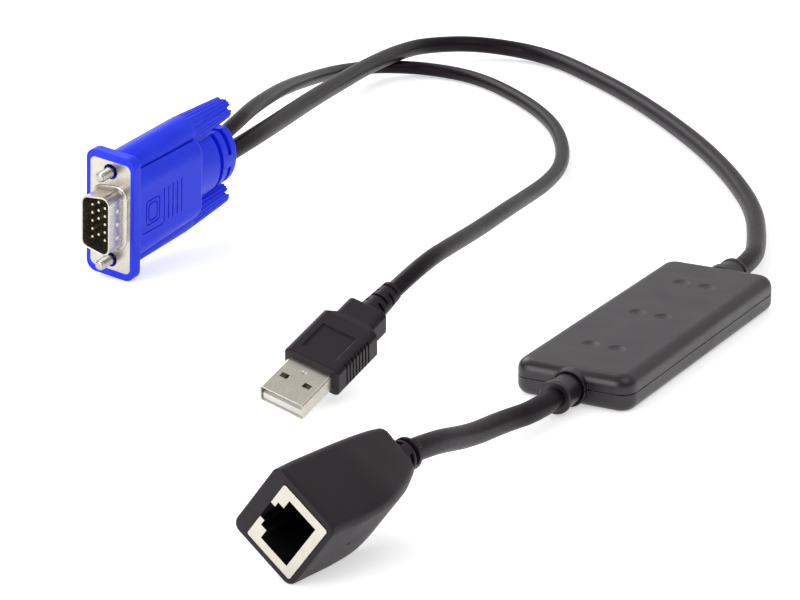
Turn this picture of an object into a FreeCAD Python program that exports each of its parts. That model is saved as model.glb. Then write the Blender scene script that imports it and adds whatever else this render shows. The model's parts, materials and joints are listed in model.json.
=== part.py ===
"""KVM dongle: a VGA plug, a USB plug and an RJ45 socket, all wired to one small inline module.

Lengths are in millimetres. The inline module lies flat with the centre of its bottom at the
origin, its length along Y and its width along X. Every connector is drawn in a frame of its own,
with x out of its mouth, y across it and z up, and is then laid down beside the module.
"""
import FreeCAD, Part
import math
import os

vec = FreeCAD.Vector
X, Y, Z = vec(1, 0, 0), vec(0, 1, 0), vec(0, 0, 1)

# ---- inline module ----------------------------------------------------------------------------
MODULE_WIDTH, MODULE_LENGTH, MODULE_HEIGHT = 30.0, 85.4, 8.8
MODULE_CORNER = 4.0            # radius of the upright corners
MODULE_TOP_EDGE, MODULE_BOTTOM_EDGE = 2.9, 2.4
MODULE_WALL = 1.4
PARTING_HEIGHT = 4.5           # height of the line between the two covers
PARTING_GAP = 0.2              # open line that shows between the covers
LIP_HEIGHT, LIP_WALL, LIP_CLEARANCE = 1.0, 0.6, 0.05
DIMPLE_RADIUS, DIMPLE_DEPTH = 2.3, 0.4
DIMPLE_PITCH_LENGTH, DIMPLE_PITCH_WIDTH = 25.4, 6.8
BOARD_THICKNESS, BOARD_MARGIN, POST_RADIUS = 1.0, 0.6, 1.3
BOARD_TOP = 4.3
CHIP_WIDTH, CHIP_HEIGHT = 10.0, 1.4         # the largest chip; the others are shares of it
GLAND_RADIUS, GLAND_REACH = 3.7, 8.0       # boot outside the case
GLAND_RIM, GLAND_RIM_LENGTH = 0.35, 1.2    # bead round the end of the boot
GLAND_NECK, GLAND_FLANGE_WIDTH, GLAND_FLANGE_LENGTH, GLAND_PLAY = 2.9, 9.0, 1.5, 0.1
GLAND_COLLAR, COLLAR_GAP, COLLAR_REACH = 4.45, 0.25, 1.2   # moulded ring round the boot

# ---- VGA plug ---------------------------------------------------------------------------------
FLANGE_WIDTH, FLANGE_HEIGHT, FLANGE_DEPTH, FLANGE_CORNER = 15.0, 34.8, 3.2, 2.8
PLATE_WIDTH, PLATE_HEIGHT, PLATE_THICKNESS, PLATE_CORNER = 12.55, 30.81, 0.5, 1.6
HOOD_WIDTH, HOOD_HEIGHT, HOOD_REAR_HEIGHT, HOOD_LENGTH = 14.0, 27.0, 25.0, 32.0
HOOD_SHOULDER, HOOD_REAR_EDGE = 5.5, 1.2
SKIRT_WIDTH, SKIRT_HEIGHT, SKIRT_REACH = 8.9, 17.2, 6.4
SKIRT_WALL, SKIRT_CORNER, SKIRT_SLOPE = 0.4, 2.3, 10.0
SCREW_SPACING, SCREW_RADIUS, SCREW_REACH, SCREW_TIP = 24.99, 1.42, 5.0, 0.8
SCREW_HOLE_RADIUS, SCREW_GRIP, SCREW_SHANK, SCREW_SHOULDER = 2.1, 14.0, 1.15, 0.5
PIN_RADIUS, PIN_REACH, PIN_PITCH, PIN_ROW_PITCH, PIN_TAIL = 0.38, 5.2, 2.29, 1.98, 9.5
MISSING_PIN = 9                # the key position, left empty on such plugs
INSULATOR_FACE, INSULATOR_DEPTH, INSULATOR_REAR_WIDTH, INSULATOR_REAR_HEIGHT = 0.4, 8.0, 8.6, 13.8
TUB_DEPTH, TUB_MARGIN = 3.0, 1.0           # rear shell's tub, and how far it stands round the skirt
MOULD_WIDTH, MOULD_HEIGHT, MOULD_LENGTH = 9.2, 13.0, 18.0
KNOB_RADIUS, KNOB_REAR_RADIUS, KNOB_LENGTH = 4.5, 3.6, 46.8
KNOB_CLEARANCE, KNOB_RIB_START, KNOB_RIBS, KNOB_RIB_DEPTH = 0.3, 27.0, 14, 0.45
KNOB_BORE, KNOB_BORE_DEPTH, KNOB_SLOT, KNOB_SLOT_DEPTH = 2.3, 6.0, 1.3, 2.0
ICON_DEPTH, ICON_LINE, ICON_CORNER = 0.3, 0.45, 0.8
ICON_FRONT, ICON_REAR, ICON_LOW, ICON_HIGH, ICON_BAND = -5.9, -12.1, -3.6, 3.7, 1.05
GROOVE_FIRST, GROOVE_PITCH, GROOVE_COUNT, GROOVE_LOW, GROOVE_HIGH = -14.0, 1.95, 5, -5.0, 4.6
COLLAR_WIDTH, COLLAR_HEIGHT, COLLAR_END = 11.6, 17.2, 49.6
NECK_WIDTH, NECK_HEIGHT = 12.6, 18.4
COLLAR_CORE, COLLAR_SLOT = 1.9, 1.6        # depth of the slots, and their width along the plug
COLLAR_SLOT_PLACES, COLLAR_BRIDGE = (41.2, 45.2), 3.4
VIDEO_EXIT_Z, USB_EXIT_Z = -2.1, 4.1       # where the two cords leave the collar

# ---- USB plug ---------------------------------------------------------------------------------
USB_WIDTH, USB_HEIGHT, USB_REACH, USB_WALL, USB_CORNER = 12.0, 4.5, 11.6, 0.32, 0.7
USB_INSIDE = 7.0               # shell length held inside the grip
WINDOW_FRONT, WINDOW_LENGTH, WINDOW_WIDTH, WINDOW_OFFSET = 5.0, 1.6, 2.1, 3.1
TONGUE_HEIGHT, TONGUE_SETBACK, TONGUE_CLEARANCE = 1.84, 0.5, 0.05
CONTACT_WIDTH, CONTACT_THICKNESS, CONTACT_SINK = 1.0, 0.2, 0.12
GRIP_WIDTH, GRIP_HEIGHT, GRIP_LENGTH, GRIP_CORNER, GRIP_SHOULDER = 15.2, 7.8, 16.0, 1.4, 1.6
WAIST_WIDTH, WAIST_HEIGHT, WAIST_LENGTH = 10.6, 7.0, 7.6
GRIP_RIBS, GRIP_RIB_PITCH, GRIP_RIB_DEPTH, GRIP_RIB_START = 8, 1.25, 0.7, 15.0
LABEL_LENGTH, LABEL_WIDTH, LABEL_DEPTH = 8.5, 9.4, 0.3
RELIEF_RADIUS, RELIEF_END_RADIUS, USB_LENGTH, RELIEF_SLOTS = 3.3, 2.6, 45.0, 4
RELIEF_SLOT_DEPTH, RELIEF_SLOT_WIDTH = 0.7, 0.8

# ---- RJ45 socket ------------------------------------------------------------------------------
JACK_WIDTH, JACK_TOP, JACK_BOTTOM, JACK_CORNER = 19.5, 10.1, 7.6, 1.8
JACK_LENGTH, JACK_END = 36.5, 41.6         # back of the housing, and of the collar behind it
# (share of the length, share of the width at the top, of the top, of the width below, of the bottom)
JACK_TAPER = ((0.0, 1.0, 1.0, 1.0, 1.0), (0.32, 0.905, 0.875, 1.0, 1.0), (0.55, 0.84, 0.785, 0.975, 0.975),
              (0.74, 0.78, 0.705, 0.865, 0.845), (0.88, 0.74, 0.65, 0.75, 0.7), (1.0, 0.7, 0.6, 0.64, 0.54))
JACK_COLLAR_RADIUS, JACK_COLLAR_CORE, JACK_SLOT = 4.2, 3.2, 1.0
SHIELD_WIDTH, SHIELD_HEIGHT, SHIELD_DEPTH, SHIELD_WALL, SHIELD_PROUD = 16.1, 12.7, 19.0, 0.25, 0.15
SOCKET_WIDTH, SOCKET_FLOOR, SOCKET_ROOF, SOCKET_DEPTH = 12.2, -4.2, 3.5, 14.0
LATCH_STEP_WIDTH, LATCH_STEP_ROOF = 7.4, 5.1
LATCH_KEY_WIDTH, LATCH_KEY_ROOF = 4.6, 5.9
INSERT_CLEARANCE = 0.05
SPRING_COUNT, SPRING_PITCH, SPRING_WIDTH, SPRING_THICKNESS = 8, 1.02, 0.4, 0.3
PINHOLE_RADIUS, PINHOLE_DEPTH, PINHOLE_SETBACK = 0.45, 1.0, 11.1

# ---- cords ------------------------------------------------------------------------------------
VIDEO_CORD_RADIUS, USB_CORD_RADIUS, NETWORK_CORD_RADIUS = 2.6, 2.1, 2.6
LEAD_OUT = 12.5                # straight stretch between an exit and the first free point
ARC_SHARE = 0.45               # share of the shorter run that an arc may take up

# ---- how the connectors lie beside the module: place, and yaw, dip and roll in degrees ---------
VGA_PLACE, VGA_YAW, VGA_DIP, VGA_ROLL = (-143.7, -19.0), -92.0, 5.7, -7.4
USB_PLACE, USB_YAW, USB_DIP, USB_ROLL = (-54.45, -80.25), -96.8, 19.5, -14.6
JACK_PLACE, JACK_YAW, JACK_DIP, JACK_ROLL = (-4.6, -158.3), -94.8, 1.3, 52.4

nodes = {}


# ---- shapes -----------------------------------------------------------------------------------
def box(x0, x1, y0, y1, z0, z1):
    """A plain block between two opposite corners."""
    return Part.makeBox(x1 - x0, y1 - y0, z1 - z0, vec(x0, y0, z0))


def rod(radius, x0, x1, y=0.0, z=0.0):
    """A cylinder along x."""
    return Part.makeCylinder(radius, x1 - x0, vec(x0, y, z), X)


def outline(points, corner, x):
    """A closed outline across x, given as (y, z) corners, each rounded by the same radius."""
    count = len(points)
    corners = [vec(x, y, z) for y, z in points]
    cuts = []
    for i, here in enumerate(corners):
        back = (corners[i - 1] - here).normalize()
        ahead = (corners[(i + 1) % count] - here).normalize()
        half = back.getAngle(ahead) / 2
        reach = corner / math.tan(half)
        middle = (back + ahead).normalize() * (corner / math.sin(half) - corner)
        cuts.append((here + back * reach, here + middle, here + ahead * reach))
    edges = []
    for i, (start, middle, end) in enumerate(cuts):
        edges.append(Part.Arc(start, middle, end).toShape())
        edges.append(Part.LineSegment(end, cuts[(i + 1) % count][0]).toShape())
    return Part.Wire(edges)


def rectangle(width, height, corner, x, y=0.0, z=0.0):
    """A rounded rectangle across x, centred on (y, z)."""
    half_w, half_h = width / 2, height / 2
    points = [(y - half_w, z - half_h), (y + half_w, z - half_h),
              (y + half_w, z + half_h), (y - half_w, z + half_h)]
    return outline(points, corner, x)


def prism(wire, length):
    """A solid that runs back from an outline, against x."""
    return Part.Face(wire).extrude(vec(-length, 0, 0))


def slab(width, height, corner, x0, x1, z=0.0):
    """A rounded block between x1 at its front and x0 at its back."""
    return prism(rectangle(width, height, corner, x1, z=z), x1 - x0)


def loft(wires, ruled=False):
    """A solid through several outlines."""
    return Part.makeLoft(wires, True, ruled)


def oval(width, height, x):
    """An upright ellipse across x."""
    edge = Part.Ellipse(vec(0, 0, 0), height / 2, width / 2).toShape()
    edge.rotate(vec(0, 0, 0), Y, -90)
    edge.translate(vec(x, 0, 0))
    return Part.Wire([edge])


def revolve(profile):
    """A solid of revolution about x from (x, radius) points, closed along the axis."""
    points = [vec(x, 0, r) for x, r in profile]
    closed = [vec(profile[0][0], 0, 0)] + points + [vec(profile[-1][0], 0, 0)]
    wire = Part.makePolygon(closed + closed[:1])
    return Part.Face(wire).revolve(vec(0, 0, 0), X, 360)


def fillet_where(shape, radius, wanted):
    """Round the edges whose middle point passes the test."""
    edges = [e for e in shape.Edges if wanted(e.CenterOfMass)]
    return shape.makeFillet(radius, edges)


def about(value, target, slack=0.05):
    """Whether a coordinate lies at a target."""
    return abs(value - target) < slack


# ---- placing ----------------------------------------------------------------------------------
class Stance:
    """Where a connector lies: its frame, lifted until its outer piece rests on the surface."""

    def __init__(self, place, yaw, dip, roll, outer):
        turn = FreeCAD.Rotation(yaw, dip, roll)
        flat = FreeCAD.Placement(vec(place[0], place[1], 0), turn)
        tilted = outer.copy()
        tilted.Placement = flat.multiply(outer.Placement)
        lift = -tilted.optimalBoundingBox(False).ZMin
        self.placement = FreeCAD.Placement(vec(place[0], place[1], lift), turn)

    def point(self, x, y=0.0, z=0.0):
        """A point of the connector's own frame, in the row frame."""
        return self.placement.multVec(vec(x, y, z))

    def add(self, name, shape):
        """Lay a piece down and keep it as a node."""
        laid = shape.copy()
        laid.Placement = self.placement.multiply(shape.Placement)
        nodes[name] = laid


# ---- inline module ----------------------------------------------------------------------------
def module_body(inset, z0, z1, top_edge=0.0, bottom_edge=0.0):
    """A rounded block of the module's plan, drawn in by an inset."""
    width, length = MODULE_WIDTH - 2 * inset, MODULE_LENGTH - 2 * inset
    corner = max(MODULE_CORNER - inset, 0.3)
    body = box(-width / 2, width / 2, -length / 2, length / 2, z0, z1)
    body = body.makeFillet(corner, [e for e in body.Edges if about(e.tangentAt(0).cross(Z).Length, 0)])
    if top_edge:
        body = fillet_where(body, top_edge, lambda c: about(c.z, z1))
    if bottom_edge:
        body = fillet_where(body, bottom_edge, lambda c: about(c.z, z0))
    return body


def gland_end(radius, y0, y1):
    """A cylinder along y on the axis that the cords pass through, between two distances."""
    return Part.makeCylinder(radius, y1 - y0, vec(0, y0, MODULE_HEIGHT / 2), Y)


def both_ends(shape):
    """A shape at the rear of the module and its copy at the front."""
    return [shape, shape.mirror(vec(0, 0, 0), Y)]


def gland_flange(play):
    """The block behind the end wall that keeps a boot from pulling out, grown by some play."""
    back = MODULE_LENGTH / 2 - MODULE_WALL
    half = GLAND_FLANGE_WIDTH / 2 + play
    low = MODULE_WALL + GLAND_PLAY - play
    return box(-half, half, back - GLAND_FLANGE_LENGTH - play, back, low, MODULE_HEIGHT - low)


def make_gland():
    """A cable boot: a beaded tube outside the case, a neck in its wall and a flange behind it."""
    face = MODULE_LENGTH / 2
    end = face + GLAND_REACH
    inner_face = face - MODULE_WALL
    boot = gland_end(GLAND_RADIUS, face, end - GLAND_RIM_LENGTH)
    bead = gland_end(GLAND_RADIUS + GLAND_RIM, end - GLAND_RIM_LENGTH, end)
    bead = fillet_where(bead, GLAND_RIM, lambda c: c.y > face)
    neck = gland_end(GLAND_NECK, inner_face, face)
    return boot.multiFuse([bead, neck, gland_flange(0)]).removeSplitter()


def make_covers():
    """The two halves of the case, with a lip, posts for the board and a ring round each boot."""
    face, split = MODULE_LENGTH / 2, PARTING_HEIGHT
    outer = module_body(0, 0, MODULE_HEIGHT, MODULE_TOP_EDGE, MODULE_BOTTOM_EDGE)
    cavity = module_body(MODULE_WALL, MODULE_WALL, MODULE_HEIGHT - MODULE_WALL)
    case = outer.cut(cavity)
    collar = gland_end(GLAND_COLLAR, face - MODULE_WALL, face + COLLAR_REACH)
    collar = collar.common(box(-face, face, 0, 2 * face, 0, MODULE_HEIGHT))
    case = case.multiFuse(both_ends(collar)).removeSplitter()
    mouth = gland_end(GLAND_RADIUS + COLLAR_GAP, face, face + COLLAR_REACH + 1)
    hole = gland_end(GLAND_NECK, face - MODULE_WALL - 1, face + 1)
    case = case.cut(both_ends(mouth) + both_ends(hole))
    reach = MODULE_LENGTH
    top = case.common(box(-reach, reach, -reach, reach, split + PARTING_GAP / 2, MODULE_HEIGHT + 1))
    bottom = case.common(box(-reach, reach, -reach, reach, -1, split - PARTING_GAP / 2))
    lip_inset = MODULE_WALL - LIP_WALL
    lip = module_body(lip_inset, split - LIP_HEIGHT, split + LIP_HEIGHT)
    lip = lip.cut(module_body(MODULE_WALL, split - 2 * LIP_HEIGHT, split + 2 * LIP_HEIGHT))
    lip = lip.cut(both_ends(gland_flange(GLAND_PLAY)) + both_ends(hole))
    groove = module_body(lip_inset - LIP_CLEARANCE, split, split + LIP_HEIGHT + LIP_CLEARANCE)
    groove = groove.cut(module_body(MODULE_WALL + LIP_CLEARANCE, split, split + 2 * LIP_HEIGHT))
    top = top.cut(groove)
    posts = [Part.makeCylinder(POST_RADIUS, BOARD_TOP - BOARD_THICKNESS - MODULE_WALL / 2,
                               vec(sx * (MODULE_WIDTH / 2 - 2 * MODULE_CORNER / 2 - MODULE_WALL),
                                   sy * (face - 3 * MODULE_CORNER), MODULE_WALL / 2))
             for sx in (-1, 1) for sy in (-1, 1)]
    bottom = bottom.multiFuse([lip] + posts).removeSplitter()
    sphere_radius = (DIMPLE_RADIUS ** 2 + DIMPLE_DEPTH ** 2) / (2 * DIMPLE_DEPTH)
    dimple_centre = MODULE_HEIGHT - DIMPLE_DEPTH + sphere_radius
    dimples = [Part.makeSphere(sphere_radius, vec(sx * DIMPLE_PITCH_WIDTH / 2, row * DIMPLE_PITCH_LENGTH,
                                                  dimple_centre))
               for sx in (-1, 1) for row in (-1, 0, 1)]
    return top.cut(dimples), bottom


def make_board():
    """The circuit board, notched so that it clears the glands' flanges."""
    inset = MODULE_WALL + BOARD_MARGIN
    board = module_body(inset, BOARD_TOP - BOARD_THICKNESS, BOARD_TOP)
    back = MODULE_LENGTH / 2 - MODULE_WALL - GLAND_FLANGE_LENGTH - BOARD_MARGIN
    half = GLAND_FLANGE_WIDTH / 2 + BOARD_MARGIN
    notch = box(-half, half, back, MODULE_LENGTH, 0, MODULE_HEIGHT)
    return board.cut(both_ends(notch))


def chip(width, length, height, x, y):
    """A flat component on the board: shares of the largest chip's size, and of the case's for its place."""
    half_x, half_y, tall = CHIP_WIDTH * width / 2, CHIP_WIDTH * length / 2, CHIP_HEIGHT * height
    x, y, top = x * MODULE_WIDTH, y * MODULE_LENGTH, BOARD_TOP + tall
    body = box(x - half_x, x + half_x, y - half_y, y + half_y, BOARD_TOP, top)
    return body.makeChamfer(tall / 7, [e for e in body.Edges if about(e.CenterOfMass.z, top)])


def build_module():
    """The module's case, its glands and what its board carries."""
    nodes["module_top_cover"], nodes["module_bottom_cover"] = make_covers()
    gland = make_gland()
    nodes["module_rear_gland"], nodes["module_front_gland"] = both_ends(gland)
    nodes["module_circuit_board"] = make_board()
    nodes["module_controller_chip"] = chip(1.0, 1.0, 1.0, 0.0, 0.02)
    nodes["module_video_chip"] = chip(0.6, 0.8, 0.9, 0.0, 0.23)
    nodes["module_network_transformer"] = chip(0.9, 1.2, 1.7, 0.0, -0.28)
    nodes["module_crystal"] = chip(0.32, 0.5, 0.7, 0.3, 0.035)
    capacitors = [chip(0.16, 0.24, 0.7, side * 0.3, y) for side in (-1, 1) for y in (-0.14, 0.16, 0.26)]
    nodes["module_capacitors"] = Part.Compound(capacitors)


# ---- VGA plug ---------------------------------------------------------------------------------
def skirt_outline(inset, x):
    """The D outline of the plug, wide on its +y side, drawn in by an inset."""
    slope = math.tan(math.radians(SKIRT_SLOPE))
    side = SKIRT_WIDTH / 2 - inset
    end = SKIRT_HEIGHT / 2 - inset / math.cos(math.radians(SKIRT_SLOPE))
    wide, narrow = end - inset * slope, end - (SKIRT_WIDTH - inset) * slope
    points = [(-side, -narrow), (side, -wide), (side, wide), (-side, narrow)]
    return outline(points, max(SKIRT_CORNER - inset, 0.3), x)


def plate(x0, x1):
    """The nickel flange's outline between two distances, with its screw holes."""
    sheet = slab(PLATE_WIDTH, PLATE_HEIGHT, PLATE_CORNER, x0, x1)
    holes = [rod(SCREW_HOLE_RADIUS, x0 - 1, x1 + 1, z=side * SCREW_SPACING / 2) for side in (-1, 1)]
    return sheet.cut(holes)


def make_front_shell():
    """The stamped front shell: flange, drawn skirt and the dimples that grip the mating half."""
    skirt = prism(skirt_outline(0, SKIRT_REACH), SKIRT_REACH + PLATE_THICKNESS)
    shell = plate(-PLATE_THICKNESS, 0).fuse(skirt).removeSplitter()
    dimple_radius, proud = 1.6, 0.3
    wide_y = SKIRT_WIDTH / 2 + proud - dimple_radius
    dimples = [Part.makeSphere(dimple_radius, vec(2.6, side * wide_y, z))
               for side in (-1, 1) for z in (-3.8, 0, 3.8)]
    shell = shell.multiFuse(dimples).removeSplitter()
    inside = prism(skirt_outline(SKIRT_WALL, SKIRT_REACH + 1), SKIRT_REACH + PLATE_THICKNESS + 2)
    return shell.cut(inside)


def tub(inset, x0, x1):
    """The block that the rear shell's tub fills, drawn in by an inset."""
    width, height = SKIRT_WIDTH + 2 * TUB_MARGIN, SKIRT_HEIGHT + 2 * TUB_MARGIN
    return slab(width - 2 * inset, height - 2 * inset, 2.0 - inset, x0, x1)


def make_rear_shell():
    """The rear shell: a second plate with a rounded tub that holds the insulator from behind."""
    back = -2 * PLATE_THICKNESS
    shell = plate(back, -PLATE_THICKNESS).fuse(tub(0, -TUB_DEPTH, back))
    return shell.cut(tub(SKIRT_WALL, -TUB_DEPTH - 1, 1))


def pin_places():
    """(y, z) of every pin: three rows of five, the middle one shifted by half a pitch."""
    places = []
    for row, shift in ((1, 0.0), (0, 0.5), (-1, 0.0)):
        for step in range(5):
            number = (1 - row) * 5 + step + 1
            if number != MISSING_PIN:
                places.append((row * PIN_ROW_PITCH, (2 - step + shift) * PIN_PITCH))
    return places


def make_pins():
    """The contact pins, each a rod with a rounded tip."""
    pins = []
    for y, z in pin_places():
        pin = rod(PIN_RADIUS, -PIN_TAIL, PIN_REACH, y, z)
        pins.append(fillet_where(pin, PIN_RADIUS * 0.7, lambda c: about(c.x, PIN_REACH)))
    return pins


def make_insulator(pins):
    """The moulded block that carries the pins: a D nose in the skirt and a body in the tub."""
    nose = prism(skirt_outline(SKIRT_WALL, INSULATOR_FACE), INSULATOR_FACE + 2 * PLATE_THICKNESS)
    body = tub(SKIRT_WALL, -TUB_DEPTH, -PLATE_THICKNESS)
    rear = slab(INSULATOR_REAR_WIDTH, INSULATOR_REAR_HEIGHT, 1.0, -INSULATOR_DEPTH, -TUB_DEPTH + 1)
    return nose.multiFuse([body, rear]).removeSplitter().cut(pins)


def knob_radius(depth):
    """The knob's radius at a distance behind the flange: straight at first, then tapering."""
    share = max(0.0, (depth - KNOB_RIB_START) / (KNOB_LENGTH - KNOB_RIB_START))
    return KNOB_RADIUS + (KNOB_REAR_RADIUS - KNOB_RADIUS) * share


def make_thumbscrew():
    """The long knob, fluted on its rear half with a castellated tail, and its steel jackscrew."""
    front = -FLANGE_DEPTH - KNOB_CLEARANCE
    tail = front - KNOB_LENGTH
    rib_start = front - KNOB_RIB_START
    edge = 0.5
    knob = revolve([(front, KNOB_RADIUS - edge), (front - edge, KNOB_RADIUS), (rib_start, KNOB_RADIUS),
                    (tail + edge, KNOB_REAR_RADIUS), (tail, KNOB_REAR_RADIUS - edge)])
    flute_radius = 2 * KNOB_RIB_DEPTH
    flutes = []
    for i in range(KNOB_RIBS):
        start = vec(rib_start + 1, 0, KNOB_RADIUS + flute_radius - KNOB_RIB_DEPTH)
        end = vec(tail - 1, 0, KNOB_REAR_RADIUS + flute_radius - KNOB_RIB_DEPTH)
        flute = Part.makeCylinder(flute_radius, (end - start).Length, start, end - start)
        flute.rotate(vec(0, 0, 0), X, 360 * i / KNOB_RIBS)
        flutes.append(flute)
    slots = []
    for angle in (0, 60, 120):
        half = KNOB_SLOT / 2
        slot = box(tail - 1, tail + KNOB_SLOT_DEPTH, -KNOB_RADIUS, KNOB_RADIUS, -half, half)
        slot.rotate(vec(0, 0, 0), X, angle)
        slots.append(slot)
    screw_end = front - SCREW_GRIP
    bore = rod(SCREW_SHANK, screw_end, front + 1)
    knob = knob.cut(flutes + slots + [bore, rod(KNOB_BORE, tail - 1, tail + KNOB_BORE_DEPTH)])
    screw = revolve([(screw_end, SCREW_SHANK), (SCREW_SHOULDER, SCREW_SHANK), (SCREW_SHOULDER, SCREW_RADIUS),
                     (SCREW_REACH - SCREW_TIP, SCREW_RADIUS), (SCREW_REACH, SCREW_RADIUS - SCREW_TIP)])
    return knob, screw


def mould_block():
    """The plain plastic block cast round the wires and pin tails before the hood."""
    return slab(MOULD_WIDTH, MOULD_HEIGHT, 1.5, -INSULATOR_DEPTH - MOULD_LENGTH, -INSULATOR_DEPTH)


def octagon(x0, x1, z0, z1, corner):
    """A rectangle in the x-z plane with its corners cut off, as points in turn."""
    return [(x0 + corner, z0), (x1 - corner, z0), (x1, z0 + corner), (x1, z1 - corner),
            (x1 - corner, z1), (x0 + corner, z1), (x0, z1 - corner), (x0, z0 + corner)]


def icon_cutters(side):
    """The moulded-in screen symbol, its stand and the fine grooves behind it, on one flat side."""
    deep = side * (HOOD_WIDTH / 2 - ICON_DEPTH)

    def plug(points):
        flat = [vec(x, deep, z) for x, z in points]
        return Part.Face(Part.makePolygon(flat + flat[:1])).extrude(vec(0, side * 2, 0))

    def frame(x0, x1, z0, z1, corner):
        line = ICON_LINE
        inner = plug(octagon(x0 + line, x1 - line, z0 + line, z1 - line, corner - line / 2))
        return plug(octagon(x0, x1, z0, z1, corner)).cut(inner)

    line, band = ICON_LINE, ICON_BAND
    cutters = [frame(ICON_REAR, ICON_FRONT, ICON_LOW, ICON_HIGH, ICON_CORNER),
               frame(ICON_REAR + band, ICON_FRONT - band, ICON_LOW + band, ICON_HIGH - band, ICON_CORNER)]
    for i in range(GROOVE_COUNT):
        x = GROOVE_FIRST - i * GROOVE_PITCH
        cutters.append(plug([(x - line / 2, GROOVE_LOW), (x + line / 2, GROOVE_LOW),
                             (x + line / 2, GROOVE_HIGH), (x - line / 2, GROOVE_HIGH)]))
    start, turn, foot = ICON_FRONT + 1.1, GROOVE_FIRST + 0.8, GROOVE_LOW - line
    cutters.append(plug([(start, foot), (start, foot + line), (turn, foot + line / 2),
                         (GROOVE_FIRST + line / 2, GROOVE_LOW), (GROOVE_FIRST - line / 2, GROOVE_LOW),
                         (turn - line / 2, foot - line / 2)]))
    return cutters


def make_collar():
    """The oval strain relief behind the hood, cut by two rings of staggered slots."""
    body = loft([oval(NECK_WIDTH, NECK_HEIGHT, 2.0 - HOOD_LENGTH),
                 oval(COLLAR_WIDTH, COLLAR_HEIGHT, -COLLAR_END)])
    body = fillet_where(body, 0.9, lambda c: about(c.x, -COLLAR_END))
    cutters = []
    for depth, along_y in zip(COLLAR_SLOT_PLACES, (False, True)):
        front, back, reach = -depth, -depth - COLLAR_SLOT, COLLAR_HEIGHT
        core = oval(COLLAR_WIDTH - 2 * COLLAR_CORE, COLLAR_HEIGHT - 2 * COLLAR_CORE, front + 1)
        core = prism(core, COLLAR_SLOT + 2)
        ring = box(back, front, -reach, reach, -reach, reach).cut(core)
        half_y, half_z = (reach, COLLAR_BRIDGE / 2) if along_y else (COLLAR_BRIDGE / 2, reach)
        cutters.append(ring.cut(box(back - 1, front + 1, -half_y, half_y, -half_z, half_z)))
    return body.cut(cutters)


def make_hood(fillings):
    """The moulded hood: flange, shouldered body with a channel for each knob, neck and collar."""
    flange = slab(FLANGE_WIDTH, FLANGE_HEIGHT, FLANGE_CORNER, -FLANGE_DEPTH, 0)
    flange = fillet_where(flange, 0.5, lambda c: about(c.x, -FLANGE_DEPTH))
    front = rectangle(HOOD_WIDTH, HOOD_HEIGHT, HOOD_SHOULDER, -FLANGE_DEPTH / 2)
    rear = rectangle(HOOD_WIDTH, HOOD_REAR_HEIGHT, HOOD_SHOULDER, -HOOD_LENGTH)
    body = loft([front, rear], True)
    body = fillet_where(body, HOOD_REAR_EDGE, lambda c: about(c.x, -HOOD_LENGTH))
    channels = []
    for side in (-1, 1):
        z = side * SCREW_SPACING / 2
        channels.append(rod(KNOB_RADIUS + KNOB_CLEARANCE, -COLLAR_END - 10, -FLANGE_DEPTH, z=z))
        channels.append(rod(SCREW_HOLE_RADIUS - 0.3, -FLANGE_DEPTH - 1, 1, z=z))
    pocket = slab(PLATE_WIDTH, PLATE_HEIGHT, PLATE_CORNER, -2 * PLATE_THICKNESS, 1)
    hood = flange.multiFuse([body, make_collar()]).removeSplitter()
    icons = icon_cutters(1) + icon_cutters(-1)
    return hood.cut(channels + [pocket] + fillings + icons)


def build_vga():
    """The VGA plug and its two captive thumbscrews."""
    pins = make_pins()
    insulator_room = slab(INSULATOR_REAR_WIDTH, INSULATOR_REAR_HEIGHT, 1.0, -INSULATOR_DEPTH, 0)
    hood = make_hood([tub(0, -TUB_DEPTH, 0), insulator_room, mould_block()])
    stance = Stance(VGA_PLACE, VGA_YAW, VGA_DIP, VGA_ROLL, hood)
    stance.add("vga_hood", hood)
    stance.add("vga_front_shell", make_front_shell())
    stance.add("vga_rear_shell", make_rear_shell())
    stance.add("vga_insulator", make_insulator(pins))
    stance.add("vga_pins", Part.Compound(pins))
    stance.add("vga_inner_mould", mould_block().cut(pins))
    for name, side in (("upper", 1), ("lower", -1)):
        knob, screw = make_thumbscrew()
        for shape in (knob, screw):
            shape.translate(vec(0, 0, side * SCREW_SPACING / 2))
        stance.add("vga_thumbscrew_knob_" + name, knob)
        stance.add("vga_jackscrew_" + name, screw)
    return stance


# ---- USB plug ---------------------------------------------------------------------------------
def make_usb_shell():
    """The folded steel shell with its four latch windows and one locking dimple."""
    back = -USB_REACH - USB_INSIDE
    outer = slab(USB_WIDTH, USB_HEIGHT, USB_CORNER, back, 0)
    inner = slab(USB_WIDTH - 2 * USB_WALL, USB_HEIGHT - 2 * USB_WALL, USB_CORNER - USB_WALL, back - 1, 1)
    windows = [box(-WINDOW_FRONT - WINDOW_LENGTH, -WINDOW_FRONT, side * WINDOW_OFFSET - WINDOW_WIDTH / 2,
                   side * WINDOW_OFFSET + WINDOW_WIDTH / 2, -USB_HEIGHT, USB_HEIGHT) for side in (-1, 1)]
    dimple = Part.makeSphere(1.2, vec(-9.0, 0, USB_HEIGHT / 2 + 1.03))
    return outer.cut([inner, dimple] + windows)


def make_tongue():
    """The insulator: a tongue along the shell's floor and a block that fills its rear."""
    side = USB_WIDTH / 2 - USB_WALL - TONGUE_CLEARANCE
    floor = -USB_HEIGHT / 2 + USB_WALL + TONGUE_CLEARANCE
    back, shoulder = -USB_REACH - USB_INSIDE, -USB_REACH
    tongue = box(shoulder, -TONGUE_SETBACK, -side, side, floor, floor + TONGUE_HEIGHT)
    block = box(back, shoulder, -side, side, floor, -floor)
    body = tongue.fuse(block).removeSplitter()
    return fillet_where(body, 0.3, lambda c: about(abs(c.y), side)), floor + TONGUE_HEIGHT


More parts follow.
